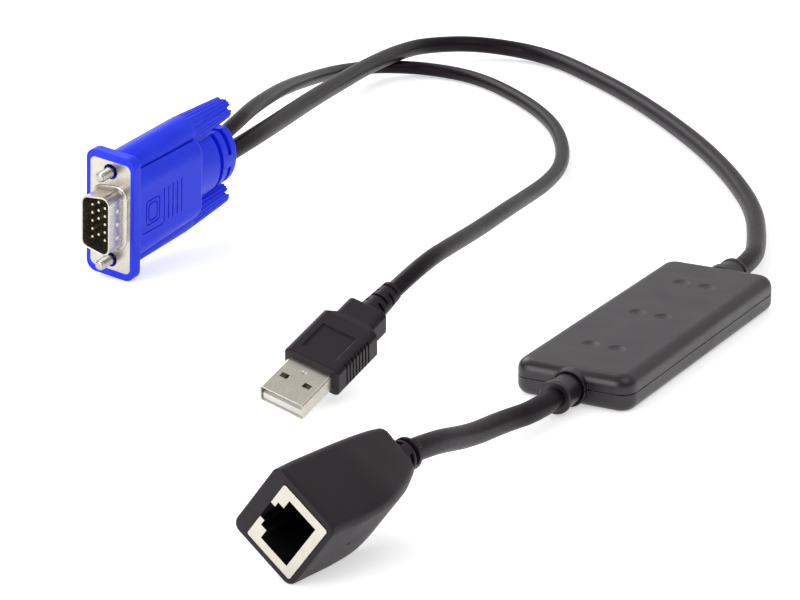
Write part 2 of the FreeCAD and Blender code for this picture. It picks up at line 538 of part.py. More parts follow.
def make_usb_contacts(top):
    """Four strips set into the tongue; the outer, longer pair meets first."""
    strips = []
    for y, front in ((-3.5, 1.3), (-1.0, 2.3), (1.0, 2.3), (3.5, 1.3)):
        strips.append(box(-USB_REACH, -front, y - CONTACT_WIDTH / 2, y + CONTACT_WIDTH / 2,
                          top - CONTACT_SINK, top - CONTACT_SINK + CONTACT_THICKNESS))
    return strips


def make_usb_grip(hidden):
    """The overmould: ribbed grip, stepped waist and a slotted, tapering strain relief."""
    front, step = -USB_REACH, -USB_REACH - GRIP_LENGTH
    waist_end = step - WAIST_LENGTH
    grip = slab(GRIP_WIDTH, GRIP_HEIGHT, GRIP_CORNER, step, front)
    grip = fillet_where(grip, 0.7, lambda c: about(c.x, front))
    shoulder = loft([rectangle(GRIP_WIDTH, GRIP_HEIGHT, GRIP_CORNER, step),
                     rectangle(WAIST_WIDTH, WAIST_HEIGHT, GRIP_CORNER, step - GRIP_SHOULDER)], True)
    waist = slab(WAIST_WIDTH, WAIST_HEIGHT, GRIP_CORNER, waist_end, step - GRIP_SHOULDER)
    waist = fillet_where(waist, 0.7, lambda c: about(c.x, waist_end))
    relief = revolve([(-USB_LENGTH, RELIEF_END_RADIUS), (waist_end + 1, RELIEF_RADIUS)])
    body = grip.multiFuse([shoulder, waist, relief]).removeSplitter()
    cutters = []
    for i in range(GRIP_RIBS):
        x = -GRIP_RIB_START - i * GRIP_RIB_PITCH
        for side in (-1, 1):
            y = side * GRIP_WIDTH / 2
            inner = y - side * GRIP_RIB_DEPTH
            cutters.append(box(x - 0.5, x, min(y, inner), max(y, inner), -GRIP_HEIGHT, GRIP_HEIGHT))
    label_z = GRIP_HEIGHT / 2 - LABEL_DEPTH
    for side in (-1, 1):
        label = prism(rectangle(LABEL_WIDTH, 2 * LABEL_DEPTH, LABEL_DEPTH * 0.6, -GRIP_RIB_START,
                                z=side * (label_z + LABEL_DEPTH)), LABEL_LENGTH)
        cutters.append(label)
    relief_length = USB_LENGTH + waist_end
    for i in range(RELIEF_SLOTS):
        x = waist_end - (i + 0.7) * relief_length / (RELIEF_SLOTS + 0.5)
        ring = rod(RELIEF_RADIUS + 1, x - RELIEF_SLOT_WIDTH, x)
        ring = ring.cut(rod(RELIEF_END_RADIUS - RELIEF_SLOT_DEPTH + 0.3, x - 2, x + 1))
        half = RELIEF_RADIUS * 0.4
        web = box(x - 2, x + 1, -9, 9, -half, half) if i % 2 else box(x - 2, x + 1, -half, half, -9, 9)
        cutters.append(ring.cut(web))
    return body.cut(cutters + hidden)


def build_usb():
    """The USB plug."""
    tongue, top = make_tongue()
    strips = make_usb_contacts(top)
    back = -USB_REACH - USB_INSIDE
    shell_room = slab(USB_WIDTH, USB_HEIGHT, USB_CORNER, back, 0)
    mould = slab(10.0, 5.0, 1.0, back - 7.0, back)
    grip = make_usb_grip([shell_room, mould])
    shell = make_usb_shell()
    stance = Stance(USB_PLACE, USB_YAW, USB_DIP, USB_ROLL, shell.fuse(grip))
    stance.add("usb_overmould", grip)
    stance.add("usb_shell", shell)
    stance.add("usb_tongue", tongue.cut(strips))
    stance.add("usb_contacts", Part.Compound(strips))
    stance.add("usb_inner_mould", mould)
    return stance


# ---- RJ45 socket ------------------------------------------------------------------------------
def socket_cavity(front, depth, grow=0.0):
    """The plug's way in: a wide slot with the two steps that take the plug's latch."""
    back = front - depth
    slot = box(back, front, -SOCKET_WIDTH / 2 - grow, SOCKET_WIDTH / 2 + grow,
               SOCKET_FLOOR - grow, SOCKET_ROOF + grow)
    step = box(back, front, -LATCH_STEP_WIDTH / 2 - grow, LATCH_STEP_WIDTH / 2 + grow, 0,
               LATCH_STEP_ROOF + grow)
    key = box(back, front, -LATCH_KEY_WIDTH / 2 - grow, LATCH_KEY_WIDTH / 2 + grow, 0,
              LATCH_KEY_ROOF + grow)
    return slot.multiFuse([step, key]).removeSplitter()


def make_shield():
    """The metal can: a face plate open at the latch, round a box that the insert fills."""
    front = SHIELD_PROUD
    outer = slab(SHIELD_WIDTH, SHIELD_HEIGHT, 0.5, -SHIELD_DEPTH, front)
    inner = slab(SHIELD_WIDTH - 2 * SHIELD_WALL, SHIELD_HEIGHT - 2 * SHIELD_WALL, 0.3,
                 -SHIELD_DEPTH - 1, front - SHIELD_WALL)
    latch_gap = box(-2.0, front + 1, -LATCH_KEY_WIDTH / 2, LATCH_KEY_WIDTH / 2, 0, SHIELD_HEIGHT)
    return outer.cut([inner, socket_cavity(front + 1, 4.0), latch_gap])


def make_insert(springs):
    """The plastic insert with the socket's cavity and a comb slot for every spring contact."""
    width = SHIELD_WIDTH - 2 * SHIELD_WALL - 2 * INSERT_CLEARANCE
    height = SHIELD_HEIGHT - 2 * SHIELD_WALL - 2 * INSERT_CLEARANCE
    front = SHIELD_PROUD - SHIELD_WALL - INSERT_CLEARANCE
    body = slab(width, height, 0.3, -SHIELD_DEPTH + 1, front)
    return body.cut([socket_cavity(front + 1, SOCKET_DEPTH + 1, 0.1)] + springs)


def make_springs():
    """Eight bent wires that rise from the cavity's floor and run out at the back."""
    springs = []
    low, thick = SOCKET_FLOOR - 0.5, SPRING_THICKNESS
    path = [(-6.0, low), (-13.4, -1.4), (-SHIELD_DEPTH - 1.2, -1.4)]
    for i in range(SPRING_COUNT):
        y = (i - (SPRING_COUNT - 1) / 2) * SPRING_PITCH - SPRING_WIDTH / 2
        lower = [vec(x, y, z) for x, z in path]
        upper = [vec(x, y, z + thick) for x, z in reversed(path)]
        wire = Part.makePolygon(lower + upper + lower[:1])
        springs.append(Part.Face(wire).extrude(vec(0, SPRING_WIDTH, 0)))
    return springs


def jack_section(share, top_width, top, bottom_width, bottom):
    """The housing's outline at a share of its length, from shares of its sizes at the mouth."""
    upper, lower = JACK_WIDTH / 2 * top_width, JACK_WIDTH / 2 * bottom_width
    high, low = JACK_TOP * top, -JACK_BOTTOM * bottom
    points = [(-lower, low), (lower, low), (upper, high), (-upper, high)]
    return outline(points, JACK_CORNER, -JACK_LENGTH * share)


def make_jack_housing(hidden):
    """The tapered overmould: square at the mouth, drawn in towards a slotted round collar."""
    body = loft([jack_section(*row) for row in JACK_TAPER])
    body = fillet_where(body, 0.5, lambda c: about(c.x, 0) or about(c.x, -JACK_LENGTH))
    collar = rod(JACK_COLLAR_RADIUS, -JACK_END, -JACK_LENGTH + 1)
    collar = fillet_where(collar, 0.6, lambda c: about(c.x, -JACK_END))
    body = body.fuse(collar)
    cutters = []
    gap = JACK_END - JACK_LENGTH
    for share, flat in ((0.1, True), (0.5, False)):
        x = -JACK_LENGTH - gap * share
        ring = rod(JACK_COLLAR_RADIUS + 1, x - JACK_SLOT, x).cut(rod(JACK_COLLAR_CORE, x - 2, x + 1))
        half = JACK_COLLAR_RADIUS * 0.35
        web = box(x - 2, x + 1, -9, 9, -half, half) if flat else box(x - 2, x + 1, -half, half, -9, 9)
        cutters.append(ring.cut(web))
    start = vec(-PINHOLE_SETBACK, 0, -JACK_BOTTOM - PINHOLE_DEPTH)
    pinhole = Part.makeCylinder(PINHOLE_RADIUS, 2 * PINHOLE_DEPTH, start)
    return body.cut(cutters + hidden + [pinhole])


def build_jack():
    """The RJ45 socket."""
    springs = make_springs()
    can_room = slab(SHIELD_WIDTH, SHIELD_HEIGHT, 0.5, -SHIELD_DEPTH, 1)
    board = box(-SHIELD_DEPTH - 8.0, -SHIELD_DEPTH, -6.0, 6.0, -2.4, -1.4)
    tail_room = box(-SHIELD_DEPTH - 1.2, -SHIELD_DEPTH, -5.0, 5.0, -1.4, -0.9)
    housing = make_jack_housing([can_room, board, tail_room])
    stance = Stance(JACK_PLACE, JACK_YAW, JACK_DIP, JACK_ROLL, housing)
    stance.add("jack_housing", housing)
    stance.add("jack_shield", make_shield())
    stance.add("jack_insert", make_insert(springs))
    stance.add("jack_contacts", Part.Compound(springs))
    stance.add("jack_circuit_board", board)
    return stance


# ---- cords ------------------------------------------------------------------------------------
def tube(name, radius, route):
    """A round cord along straight runs joined by arcs, each as large as its two runs allow."""
    edges, here, length, radii = [], route[0], 0.0, []
    for i in range(1, len(route) - 1):
        back, ahead = route[i - 1] - route[i], route[i + 1] - route[i]
        turn = math.pi - back.getAngle(ahead)
        reach = ARC_SHARE * min(back.Length, ahead.Length)
        arc_radius = reach / math.tan(turn / 2)
        radii.append(round(arc_radius, 1))
        back.normalize()
        ahead.normalize()
        start, end = route[i] + back * reach, route[i] + ahead * reach
        inward = (back + ahead).normalize()
        middle = route[i] + inward * (arc_radius / math.cos(turn / 2) - arc_radius)
        edges.append(Part.LineSegment(here, start).toShape())
        edges.append(Part.Arc(start, middle, end).toShape())
        here = end
    edges.append(Part.LineSegment(here, route[-1]).toShape())
    length = sum(edge.Length for edge in edges)
    path = Part.Wire(edges)
    circle = Part.Wire(Part.Circle(route[0], route[1] - route[0], radius).toShape())
    solid = path.makePipeShell([circle], True, True)
    share = solid.Volume / (math.pi * radius ** 2 * length)
    print(f"{name}: length {length:.1f}, volume share {share:.4f}, smallest arc {min(radii)}, {radii}")
    nodes[name] = solid


def free_route(start, start_lead, points, end_lead, end):
    """The whole route: a straight lead at each end and the free points between them."""
    return [start, start_lead] + [vec(*p) for p in points] + [end_lead, end]


def build_cords(vga, usb, jack):
    """The three cords, laid from connector to connector."""
    boot_end = MODULE_LENGTH / 2 + GLAND_REACH
    rear_exit, front_exit = vec(0, boot_end, MODULE_HEIGHT / 2), vec(0, -boot_end, MODULE_HEIGHT / 2)
    video = [(-148, 64, 21), (-157, 92.5, 18), (-164.5, 120.5, 15), (-171.5, 148.5, 12.5),
             (-177.5, 177, 10.5), (-184, 209, 8.5), (-172, 232, 5.5), (-146.5, 236, 2.6),
             (-116, 214, 2.6), (-94.5, 195.5, 2.6), (-73, 175, 2.6), (-53, 154, 2.6),
             (-34.5, 131.5, 2.6), (-18, 107, 2.6), (-6.5, 81, 3.2)]
    tube("video_cord", VIDEO_CORD_RADIUS,
         free_route(vga.point(-COLLAR_END, 0, VIDEO_EXIT_Z), vga.point(-COLLAR_END - 16, 0, VIDEO_EXIT_Z),
                    video, rear_exit + vec(0, LEAD_OUT, 0), rear_exit))
    thin = [(-149.5, 61, 27), (-160.5, 83, 22.5), (-170, 107, 18.5), (-178.5, 130.5, 14),
            (-186.5, 155, 9.5), (-191, 184, 5), (-178, 201, 2.6), (-154, 202.5, 2.1),
            (-129, 184, 2.1), (-108.5, 163.5, 2.1), (-94.5, 141, 2.4), (-84, 118, 3.8),
            (-75.5, 93.5, 6.5), (-68.5, 68.5, 10), (-62, 44, 14), (-57, 18.5, 17.5), (-52, -4, 20.5)]
    tube("usb_cord", USB_CORD_RADIUS,
         free_route(vga.point(-COLLAR_END, 0, USB_EXIT_Z), vga.point(-COLLAR_END - LEAD_OUT, 0, USB_EXIT_Z),
                    thin, usb.point(-USB_LENGTH - LEAD_OUT), usb.point(-USB_LENGTH)))
    network = [(-1.5, -88.5, 9), (-2.5, -71, 5.6)]
    tube("network_cord", NETWORK_CORD_RADIUS,
         free_route(jack.point(-JACK_END), jack.point(-JACK_END - LEAD_OUT * 0.75), network,
                    front_exit - vec(0, LEAD_OUT * 0.75, 0), front_exit))


# ---- build and write --------------------------------------------------------------------------
def write(folder):
    """Write each node's solids to a STEP file of its own name."""
    os.makedirs(folder, exist_ok=True)
    for name, shape in nodes.items():
        solids = shape.Solids
        body = solids[0] if len(solids) == 1 else Part.Compound(solids)
        if not body.isValid() or not solids:
            raise ValueError(name + " is not a valid solid")
        body.exportStep(os.path.join(folder, name + ".step"))
        print(f"{name}: {len(solids)} solid(s), {body.Volume:.1f} mm3")


def print_frames(vga, usb, jack):
    """Print where the parts that others plug into lie, for the record's mounts."""
    places = {"jackscrew_upper": (vga, vec(SCREW_SHOULDER, 0, SCREW_SPACING / 2)),
              "jackscrew_lower": (vga, vec(SCREW_SHOULDER, 0, -SCREW_SPACING / 2)),
              "video_plug": (vga, vec(0, 0, 0)), "usb_plug": (usb, vec(0, 0, 0)),
              "network_socket": (jack, vec(SHIELD_PROUD, 0, 0))}
    for name, (stance, at) in places.items():
        point, axis = stance.point(*at), stance.placement.Rotation.multVec(X)
        print(name, [round(v, 3) for v in point], [round(v, 5) for v in axis])


build_module()
vga_stance, usb_stance, jack_stance = build_vga(), build_usb(), build_jack()
build_cords(vga_stance, usb_stance, jack_stance)
print_frames(vga_stance, usb_stance, jack_stance)
write("parts")
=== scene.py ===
"""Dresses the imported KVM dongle: a VGA plug, a USB plug and an RJ45 socket on one small module.

Sizes inside a connector are millimetres in that connector's own frame, with x out of its mouth,
y across it and z up. A Stance turns them into metres in the row frame.
"""
import json
import logging
import math
from dataclasses import dataclass
from enum import Enum
from typing import Any, ClassVar, Sequence

import bmesh
import bpy
from mathutils import Euler, Matrix, Vector


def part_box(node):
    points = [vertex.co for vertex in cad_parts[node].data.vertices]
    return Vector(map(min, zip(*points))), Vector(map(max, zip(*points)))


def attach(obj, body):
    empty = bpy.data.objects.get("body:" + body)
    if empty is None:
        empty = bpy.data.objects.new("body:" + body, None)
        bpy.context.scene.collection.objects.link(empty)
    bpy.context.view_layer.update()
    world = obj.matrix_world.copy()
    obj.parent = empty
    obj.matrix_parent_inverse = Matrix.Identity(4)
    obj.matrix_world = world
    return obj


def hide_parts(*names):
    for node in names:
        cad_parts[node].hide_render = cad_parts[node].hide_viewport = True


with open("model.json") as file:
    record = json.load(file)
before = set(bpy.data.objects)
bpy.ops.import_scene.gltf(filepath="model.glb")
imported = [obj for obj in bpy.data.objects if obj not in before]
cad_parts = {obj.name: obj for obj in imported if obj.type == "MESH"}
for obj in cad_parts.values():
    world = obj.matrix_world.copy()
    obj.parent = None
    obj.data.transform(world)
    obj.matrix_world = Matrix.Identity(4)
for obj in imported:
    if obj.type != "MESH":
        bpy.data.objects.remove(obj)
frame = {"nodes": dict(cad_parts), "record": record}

log = logging.getLogger("kvm_dongle")
MM = 0.001
MAIN_BODY = "dongle"


# ---- finishes ---------------------------------------------------------------------------------
def linear(code: str) -> tuple[float, float, float, float]:
    """Turn an sRGB hex colour into linear light.

    Args:
        code: The colour as "#rrggbb".

    Returns:
        Linear red, green, blue and an alpha of 1.
    """
    parts = [int(code[i:i + 2], 16) / 255 for i in (1, 3, 5)]
    return (*(c / 12.92 if c <= 0.04045 else ((c + 0.055) / 1.055) ** 2.4 for c in parts), 1.0)


def add_node(tree: bpy.types.NodeTree, kind: str, links: dict[Any, Any] | None = None,
             **settings: Any) -> bpy.types.Node:
    """Add one node, with its settings, its socket values and its links.

    Args:
        tree: The node tree to add to.
        kind: The node's type name.
        links: Input socket name or index to a value, or to an output socket to link from.
        settings: Properties of the node itself.

    Returns:
        The new node.
    """
    made = tree.nodes.new(kind)
    for key, value in settings.items():
        setattr(made, key, value)
    for key, value in (links or {}).items():
        if isinstance(value, bpy.types.NodeSocket):
            tree.links.new(value, made.inputs[key])
        else:
            made.inputs[key].default_value = value
    return made


def start_material(name: str) -> tuple[bpy.types.Material, bpy.types.NodeTree, bpy.types.NodeSocket]:
    """Start an empty material.

    Args:
        name: The material's name.

    Returns:
        The material, its tree, and the Object coordinates' output socket.
    """
    material = bpy.data.materials.new(name)
    material.use_nodes = True
    tree = material.node_tree
    tree.nodes.clear()
    place = add_node(tree, "ShaderNodeTexCoord")
    return material, tree, place.outputs["Object"]


def end_material(tree: bpy.types.NodeTree, inputs: dict[Any, Any]) -> None:
    """Finish a material with a Principled shader that takes the given inputs."""
    shader = add_node(tree, "ShaderNodeBsdfPrincipled", inputs)
    add_node(tree, "ShaderNodeOutputMaterial", {"Surface": shader.outputs[0]})


def per_metre(size_mm: float) -> float:
    """The noise scale whose cells are about this many millimetres across."""
    return 1000.0 / size_mm


@dataclass(frozen=True)
class MouldedPlastic:
    """An injection-moulded or over-moulded plastic with a fine spark-eroded grain.

    The soft grain breaks up highlights, and rounded mould edges catch a thin line of light.
    """
    name: str
    colour: str
    rubbed: str
    roughness: float
    grain_mm: float = 0.35
    grain_depth_mm: float = 0.012
    edge_mm: float = 0.3
    ior: float = 1.49
    specular: float = 0.5

    def build(self) -> bpy.types.Material:
        """Build the material.

        Returns:
            The material, ready for a mesh.
        """
        material, tree, place = start_material(self.name)
        cloud = add_node(tree, "ShaderNodeTexNoise",
                         {"Vector": place, "Scale": per_metre(9.0), "Detail": 5.0})
        grain = add_node(tree, "ShaderNodeTexNoise",
                         {"Vector": place, "Scale": per_metre(self.grain_mm), "Detail": 2.0})
        rub = add_node(tree, "ShaderNodeValToRGB", {"Fac": cloud.outputs["Fac"]})
        rub.color_ramp.elements[0].position, rub.color_ramp.elements[1].position = 0.42, 0.78
        tint = add_node(tree, "ShaderNodeMix", {"Factor": rub.outputs["Color"], 6: linear(self.colour),
                                                7: linear(self.rubbed)}, data_type="RGBA")
        sheen = add_node(tree, "ShaderNodeMapRange", {"Value": cloud.outputs["Fac"], "From Min": 0.3,
                                                      "From Max": 0.7, "To Min": self.roughness - 0.04,
                                                      "To Max": self.roughness + 0.06})
        edge = add_node(tree, "ShaderNodeBevel", {"Radius": self.edge_mm * MM}, samples=6)
        bump = add_node(tree, "ShaderNodeBump", {"Height": grain.outputs["Fac"], "Strength": 0.35,
                                                 "Distance": self.grain_depth_mm * MM,
                                                 "Normal": edge.outputs["Normal"]})
        end_material(tree, {"Base Color": tint.outputs[2], "Roughness": sheen.outputs["Result"],
                            "IOR": self.ior, "Specular IOR Level": self.specular,
                            "Normal": bump.outputs["Normal"]})
        return material


@dataclass(frozen=True)
class VinylJacket:
    """The extruded PVC jacket of a cord: satin, faintly wavy where the cores press through."""
    name: str
    colour: str
    rubbed: str
    roughness: float
    wave_mm: float = 7.0

    def build(self) -> bpy.types.Material:
        """Build the material.

        Returns:
            The material, ready for a mesh.
        """
        material, tree, place = start_material(self.name)
        wave = add_node(tree, "ShaderNodeTexNoise", {"Vector": place, "Scale": per_metre(self.wave_mm),
                                                     "Detail": 1.0})
        skin = add_node(tree, "ShaderNodeTexNoise",
                        {"Vector": place, "Scale": per_metre(0.5), "Detail": 3.0})
        tint = add_node(tree, "ShaderNodeMix", {"Factor": wave.outputs["Fac"], 6: linear(self.colour),
                                                7: linear(self.rubbed)}, data_type="RGBA")
        satin = add_node(tree, "ShaderNodeMapRange", {"Value": skin.outputs["Fac"], "From Min": 0.3,
                                                      "From Max": 0.7, "To Min": self.roughness - 0.05,
                                                      "To Max": self.roughness + 0.07})
        swell = add_node(tree, "ShaderNodeBump", {"Height": wave.outputs["Fac"], "Strength": 0.6,
                                                  "Distance": 0.12 * MM})
        bump = add_node(tree, "ShaderNodeBump", {"Height": skin.outputs["Fac"], "Strength": 0.3,
                                                 "Distance": 0.01 * MM, "Normal": swell.outputs["Normal"]})
        end_material(tree, {"Base Color": tint.outputs[2], "Roughness": satin.outputs["Result"],
                            "IOR": 1.52, "Specular IOR Level": 0.15, "Normal": bump.outputs["Normal"]})
        return material


@dataclass(frozen=True)
class PlatedMetal:
    """Bright-plated sheet or wire: nickel, tin or gold over steel or brass, with fine handling marks."""
    name: str
    colour: str
    dulled: str
    roughness: float
    edge_mm: float = 0.12

    def build(self) -> bpy.types.Material:
        """Build the material.

        Returns:
            The material, ready for a mesh.
        """
        material, tree, place = start_material(self.name)
        cloud = add_node(tree, "ShaderNodeTexNoise",
                         {"Vector": place, "Scale": per_metre(3.0), "Detail": 6.0, "Roughness": 0.65})
        stretch = (per_metre(0.08), per_metre(3.0), per_metre(0.6))
        lines = add_node(tree, "ShaderNodeMapping",
                         {"Vector": place, "Rotation": (0.3, 0.2, 0.5), "Scale": stretch})
        marks = add_node(tree, "ShaderNodeTexNoise", {"Vector": lines.outputs["Vector"], "Scale": 1.0,
                                                      "Detail": 2.0})
        tint = add_node(tree, "ShaderNodeMix", {"Factor": cloud.outputs["Fac"], 6: linear(self.colour),
                                                7: linear(self.dulled)}, data_type="RGBA")
        gloss = add_node(tree, "ShaderNodeMapRange", {"Value": marks.outputs["Fac"], "From Min": 0.25,
                                                      "From Max": 0.75, "To Min": self.roughness - 0.05,
                                                      "To Max": self.roughness + 0.1})
        edge = add_node(tree, "ShaderNodeBevel", {"Radius": self.edge_mm * MM}, samples=6)
        bump = add_node(tree, "ShaderNodeBump", {"Height": marks.outputs["Fac"], "Strength": 0.15,
                                                 "Distance": 0.01 * MM, "Normal": edge.outputs["Normal"]})
        end_material(tree, {"Base Color": tint.outputs[2], "Metallic": 1.0,
                            "Roughness": gloss.outputs["Result"], "Normal": bump.outputs["Normal"]})
        return material


class Finish(Enum):
    """Every finish on the dongle, by the record's slot that it belongs to."""
    black_case = MouldedPlastic("black_abs_spark_grain", "#150a13", "#1e111b", 0.36, 0.45, 0.016, 0.3,
                                specular=0.62)
    black_mould = MouldedPlastic("black_pvc_overmould", "#160b14", "#1e111b", 0.46, 0.3, 0.012, 0.3,
                                 specular=0.3)
    black_insert = MouldedPlastic("black_pbt_insert", "#0d0b0d", "#110f11", 0.5, 0.3, 0.01, 0.1,
                                  specular=0.35)
    blue_mould = MouldedPlastic("blue_pvc_overmould", "#1a36fa", "#2340ff", 0.45, 0.3, 0.01, 0.3,
                                specular=0.3)
    white_plastic = MouldedPlastic("white_pbt_tongue", "#eeeeea", "#e4e4de", 0.45, 0.2, 0.006, 0.1)
    inner_mould = MouldedPlastic("natural_polyethylene", "#d9d7cb", "#cfccc0", 0.5)
    board = MouldedPlastic("green_solder_mask", "#14502c", "#1a5c34", 0.35, 0.5, 0.01, 0.1)
    chip = MouldedPlastic("black_epoxy_package", "#1c1c1d", "#232324", 0.55, 0.2, 0.01, 0.1)
    ceramic_caps = MouldedPlastic("tan_ceramic", "#a58a62", "#b0966e", 0.4, 0.3, 0.01, 0.1)
    nickel = PlatedMetal("bright_nickel_plate", "#dcd7cc", "#bcb6aa", 0.27)
    steel = PlatedMetal("zinc_plated_steel", "#cdc9c2", "#a8a39b", 0.28)
    gold = PlatedMetal("thin_gold_plate", "#efe0be", "#d6c196", 0.3)
    cord_jacket = VinylJacket("black_pvc_jacket", "#120910", "#1a0e17", 0.38)


class Wardrobe:
    """Builds each finish once and puts it on pieces."""

    def __init__(self) -> None:
        """Start with no finish built."""
        self._made: dict[str, bpy.types.Material] = {}

    def material(self, finish: Finish) -> bpy.types.Material:
        """The material of a finish, built at its first use.

        Args:
            finish: The finish to look up.

        Returns:
            Its one material.
        """
        if finish.name not in self._made:
            self._made[finish.name] = finish.value.build()
        return self._made[finish.name]

    def dress_nodes(self) -> None:
        """Give every carried-over CAD node the finish of its own slot."""
        for part in frame["record"]["subparts"]:
            node = frame["nodes"][part["node"]]
            node.data.materials.clear()
            node.data.materials.append(self.material(Finish[part["material_slot"]]))


# ---- cords ------------------------------------------------------------------------------------
@dataclass(frozen=True)
class Stance:
    """Where a connector lies: the record's mount gives its place, three angles its turn."""
    mount: str
    yaw: float
    dip: float
    roll: float
    front: float = 0.0

    def matrix(self) -> Matrix:
        """The matrix from the connector's millimetres to the row's metres.

        Returns:
            The placing matrix, which scales as well.
        """
        turn = Euler((math.radians(self.roll), math.radians(self.dip), math.radians(self.yaw))).to_matrix()
        mounts = {m["name"]: m for m in frame["record"]["mounts"]}
        place = Vector(mounts[self.mount]["pos_m"]) - turn @ Vector((self.front * MM, 0, 0))
        return Matrix.Translation(place) @ turn.to_4x4() @ Matrix.Scale(MM, 4)

    def point(self, x: float, y: float = 0.0, z: float = 0.0) -> Vector:
        """A point of the connector's own frame, in the row frame."""
        return self.matrix() @ Vector((x, y, z))


VGA = Stance("video_plug", -92.0, 5.7, -7.4)
USB = Stance("usb_plug", -96.8, 19.5, -14.6)
JACK = Stance("network_socket", -94.8, 1.3, 52.4, 0.15)


@dataclass(frozen=True)
class Cord:
    """A free cord laid along a smooth line through its route's control points."""
    name: str
    diameter_mm: float
    length: float
    far_end: str
    carries: tuple[str, ...]

    def lay(self, route: Sequence[Vector], wardrobe: Wardrobe) -> bpy.types.Object:
        """Args:
            route: The control points from one end to the other, in metres.
            wardrobe: The finishes.

        Returns:
            The cord's curve object.
        """
        curve = bpy.data.curves.new(self.name + "_line", "CURVE")
        curve.dimensions = "3D"
        spline = curve.splines.new("NURBS")
        spline.points.add(len(route) - 1)
        for point, place in zip(spline.points, route):
            point.co = (*place, 1.0)
        spline.order_u = 3
        spline.use_endpoint_u = True
        spline.resolution_u = 10
        curve.bevel_depth = self.diameter_mm / 2 * MM
        curve.bevel_resolution = 8
        curve.use_fill_caps = True
        cord = bpy.data.objects.new(self.name + "_jacket", curve)
        bpy.context.scene.collection.objects.link(cord)
        curve.materials.append(wardrobe.material(Finish.cord_jacket))
        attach(cord, MAIN_BODY)
        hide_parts(self.name)
        log.info("laid %s through %d points", self.name, len(route))
        return cord


def millimetres(points: Sequence[tuple[float, float, float]]) -> list[Vector]:
    """Points given in millimetres, as vectors in metres."""
    return [Vector(p) * MM for p in points]


class Cords:
    """The three cords between the connectors and the module."""

    def __init__(self, wardrobe: Wardrobe) -> None:
        """Keep the finishes."""
        self.wardrobe = wardrobe

    def video(self) -> None:
        """The thick cord from the VGA plug round the loop to the module's rear."""
        low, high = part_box("module_rear_gland")
        end = Vector((0.0, high[1], (low[2] + high[2]) / 2))
        free = [(-142.2, 46.5, 22.0), (-149.8, 74, 19.7), (-158.6, 105, 17.1), (-167.4, 137, 14.0),
                (-176.1, 170, 10.8), (-182, 200, 7.7), (-181.5, 216, 6.2), (-170, 231, 4.8),
                (-146.5, 235, 2.6), (-116, 213.5, 2.6), (-94.5, 195.8, 2.6), (-73, 175.3, 2.6),
                (-53, 154.2, 2.6), (-34.5, 131.2, 2.6), (-18.2, 107, 2.6), (-6.5, 81, 3.2)]
        route = [VGA.point(-49.6, 0, -2.1), *millimetres(free), end + Vector((0, 12.5 * MM, 0)), end]
        cord = Cord("video_cord", 5.2, 0.473, "connector", ("vga_",))
        cord.lay(route[::-1], self.wardrobe)

    def usb(self) -> None:
        """The thinner cord from the VGA plug round the loop to the USB plug."""
        start = VGA.point(-49.6, 0, 4.1)
        free = [(-142.4, 40, 28.4), (-147.1, 54, 27.9), (-153.6, 72, 25.8), (-161.6, 93, 22.5),
                (-169.4, 114, 18.5), (-176.4, 134, 14.5), (-181.5, 151, 11.3), (-185.4, 167, 8.3),
                (-187.1, 185, 5.0), (-182.5, 196.5, 3.2), (-172, 202, 2.4), (-154, 200.4, 2.1),
                (-129, 183.3, 2.1), (-108.3, 163.2, 2.1), (-93.8, 141, 2.4), (-82.9, 118, 3.8),
                (-75.0, 93.5, 6.5), (-68.7, 68.5, 10), (-62.2, 44, 13.9), (-56.4, 18.5, 16.9),
                (-51.3, -4, 20.1)]
        route = [start, *millimetres(free), USB.point(-57.5, 0.7), USB.point(-45, 0.3)]
        Cord("usb_cord", 4.2, 0.478, "plug", ("usb_",)).lay(route, self.wardrobe)

    def network(self) -> None:
        """The short cord from the module's front to the RJ45 socket."""
        low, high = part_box("module_front_gland")
        start = Vector((0.0, low[1], (low[2] + high[2]) / 2))
        free = [(-1.5, -88.5, 8.0), (-2.5, -71, 5.2)]
        route = [JACK.point(-42.0, 2.0, 0.7), JACK.point(-50.975, 1.0, 0.3), *millimetres(free),
                 start - Vector((0, 9.375 * MM, 0)), start]
        cord = Cord("network_cord", 5.2, 0.067, "connector", ("jack_",))
        cord.lay(route[::-1], self.wardrobe)


# ---- meshes and rules -------------------------------------------------------------------------
def lathe(profile: Sequence[tuple[float, float]], segments: int) -> bpy.types.Mesh:
    """Turn a profile about x into a closed mesh.

    Args:
        profile: (x, radius) from one end to the other, with no point on the axis.
        segments: How many faces go round.

    Returns:
        The mesh, with a fan at each end.
    """
    shape = bmesh.new()
    rings = []
    for x, radius in profile:
        turns = [2 * math.pi * i / segments for i in range(segments)]
        rings.append([shape.verts.new((x, radius * math.sin(t), radius * math.cos(t))) for t in turns])
    for here, there in zip(rings, rings[1:]):
        for i in range(segments):
            j = (i + 1) % segments
            shape.faces.new((here[i], here[j], there[j], there[i]))
    for ring, x in ((rings[0], profile[0][0]), (rings[-1], profile[-1][0])):
        hub = shape.verts.new((x, 0.0, 0.0))
        for i in range(segments):
            shape.faces.new((ring[i], ring[(i + 1) % segments], hub))
    return sealed(shape, "turned")


def sealed(shape: bmesh.types.BMesh, name: str) -> bpy.types.Mesh:
    """Close a working mesh: merge doubles, turn the faces outwards and store it.

    Args:
        shape: The working mesh, freed here.
        name: The stored mesh's name.

    Returns:
        The stored mesh.
    """
    bmesh.ops.remove_doubles(shape, verts=shape.verts, dist=1e-5)
    bmesh.ops.recalc_face_normals(shape, faces=shape.faces)
    mesh = bpy.data.meshes.new(name)
    shape.to_mesh(mesh)
    shape.free()
    return mesh


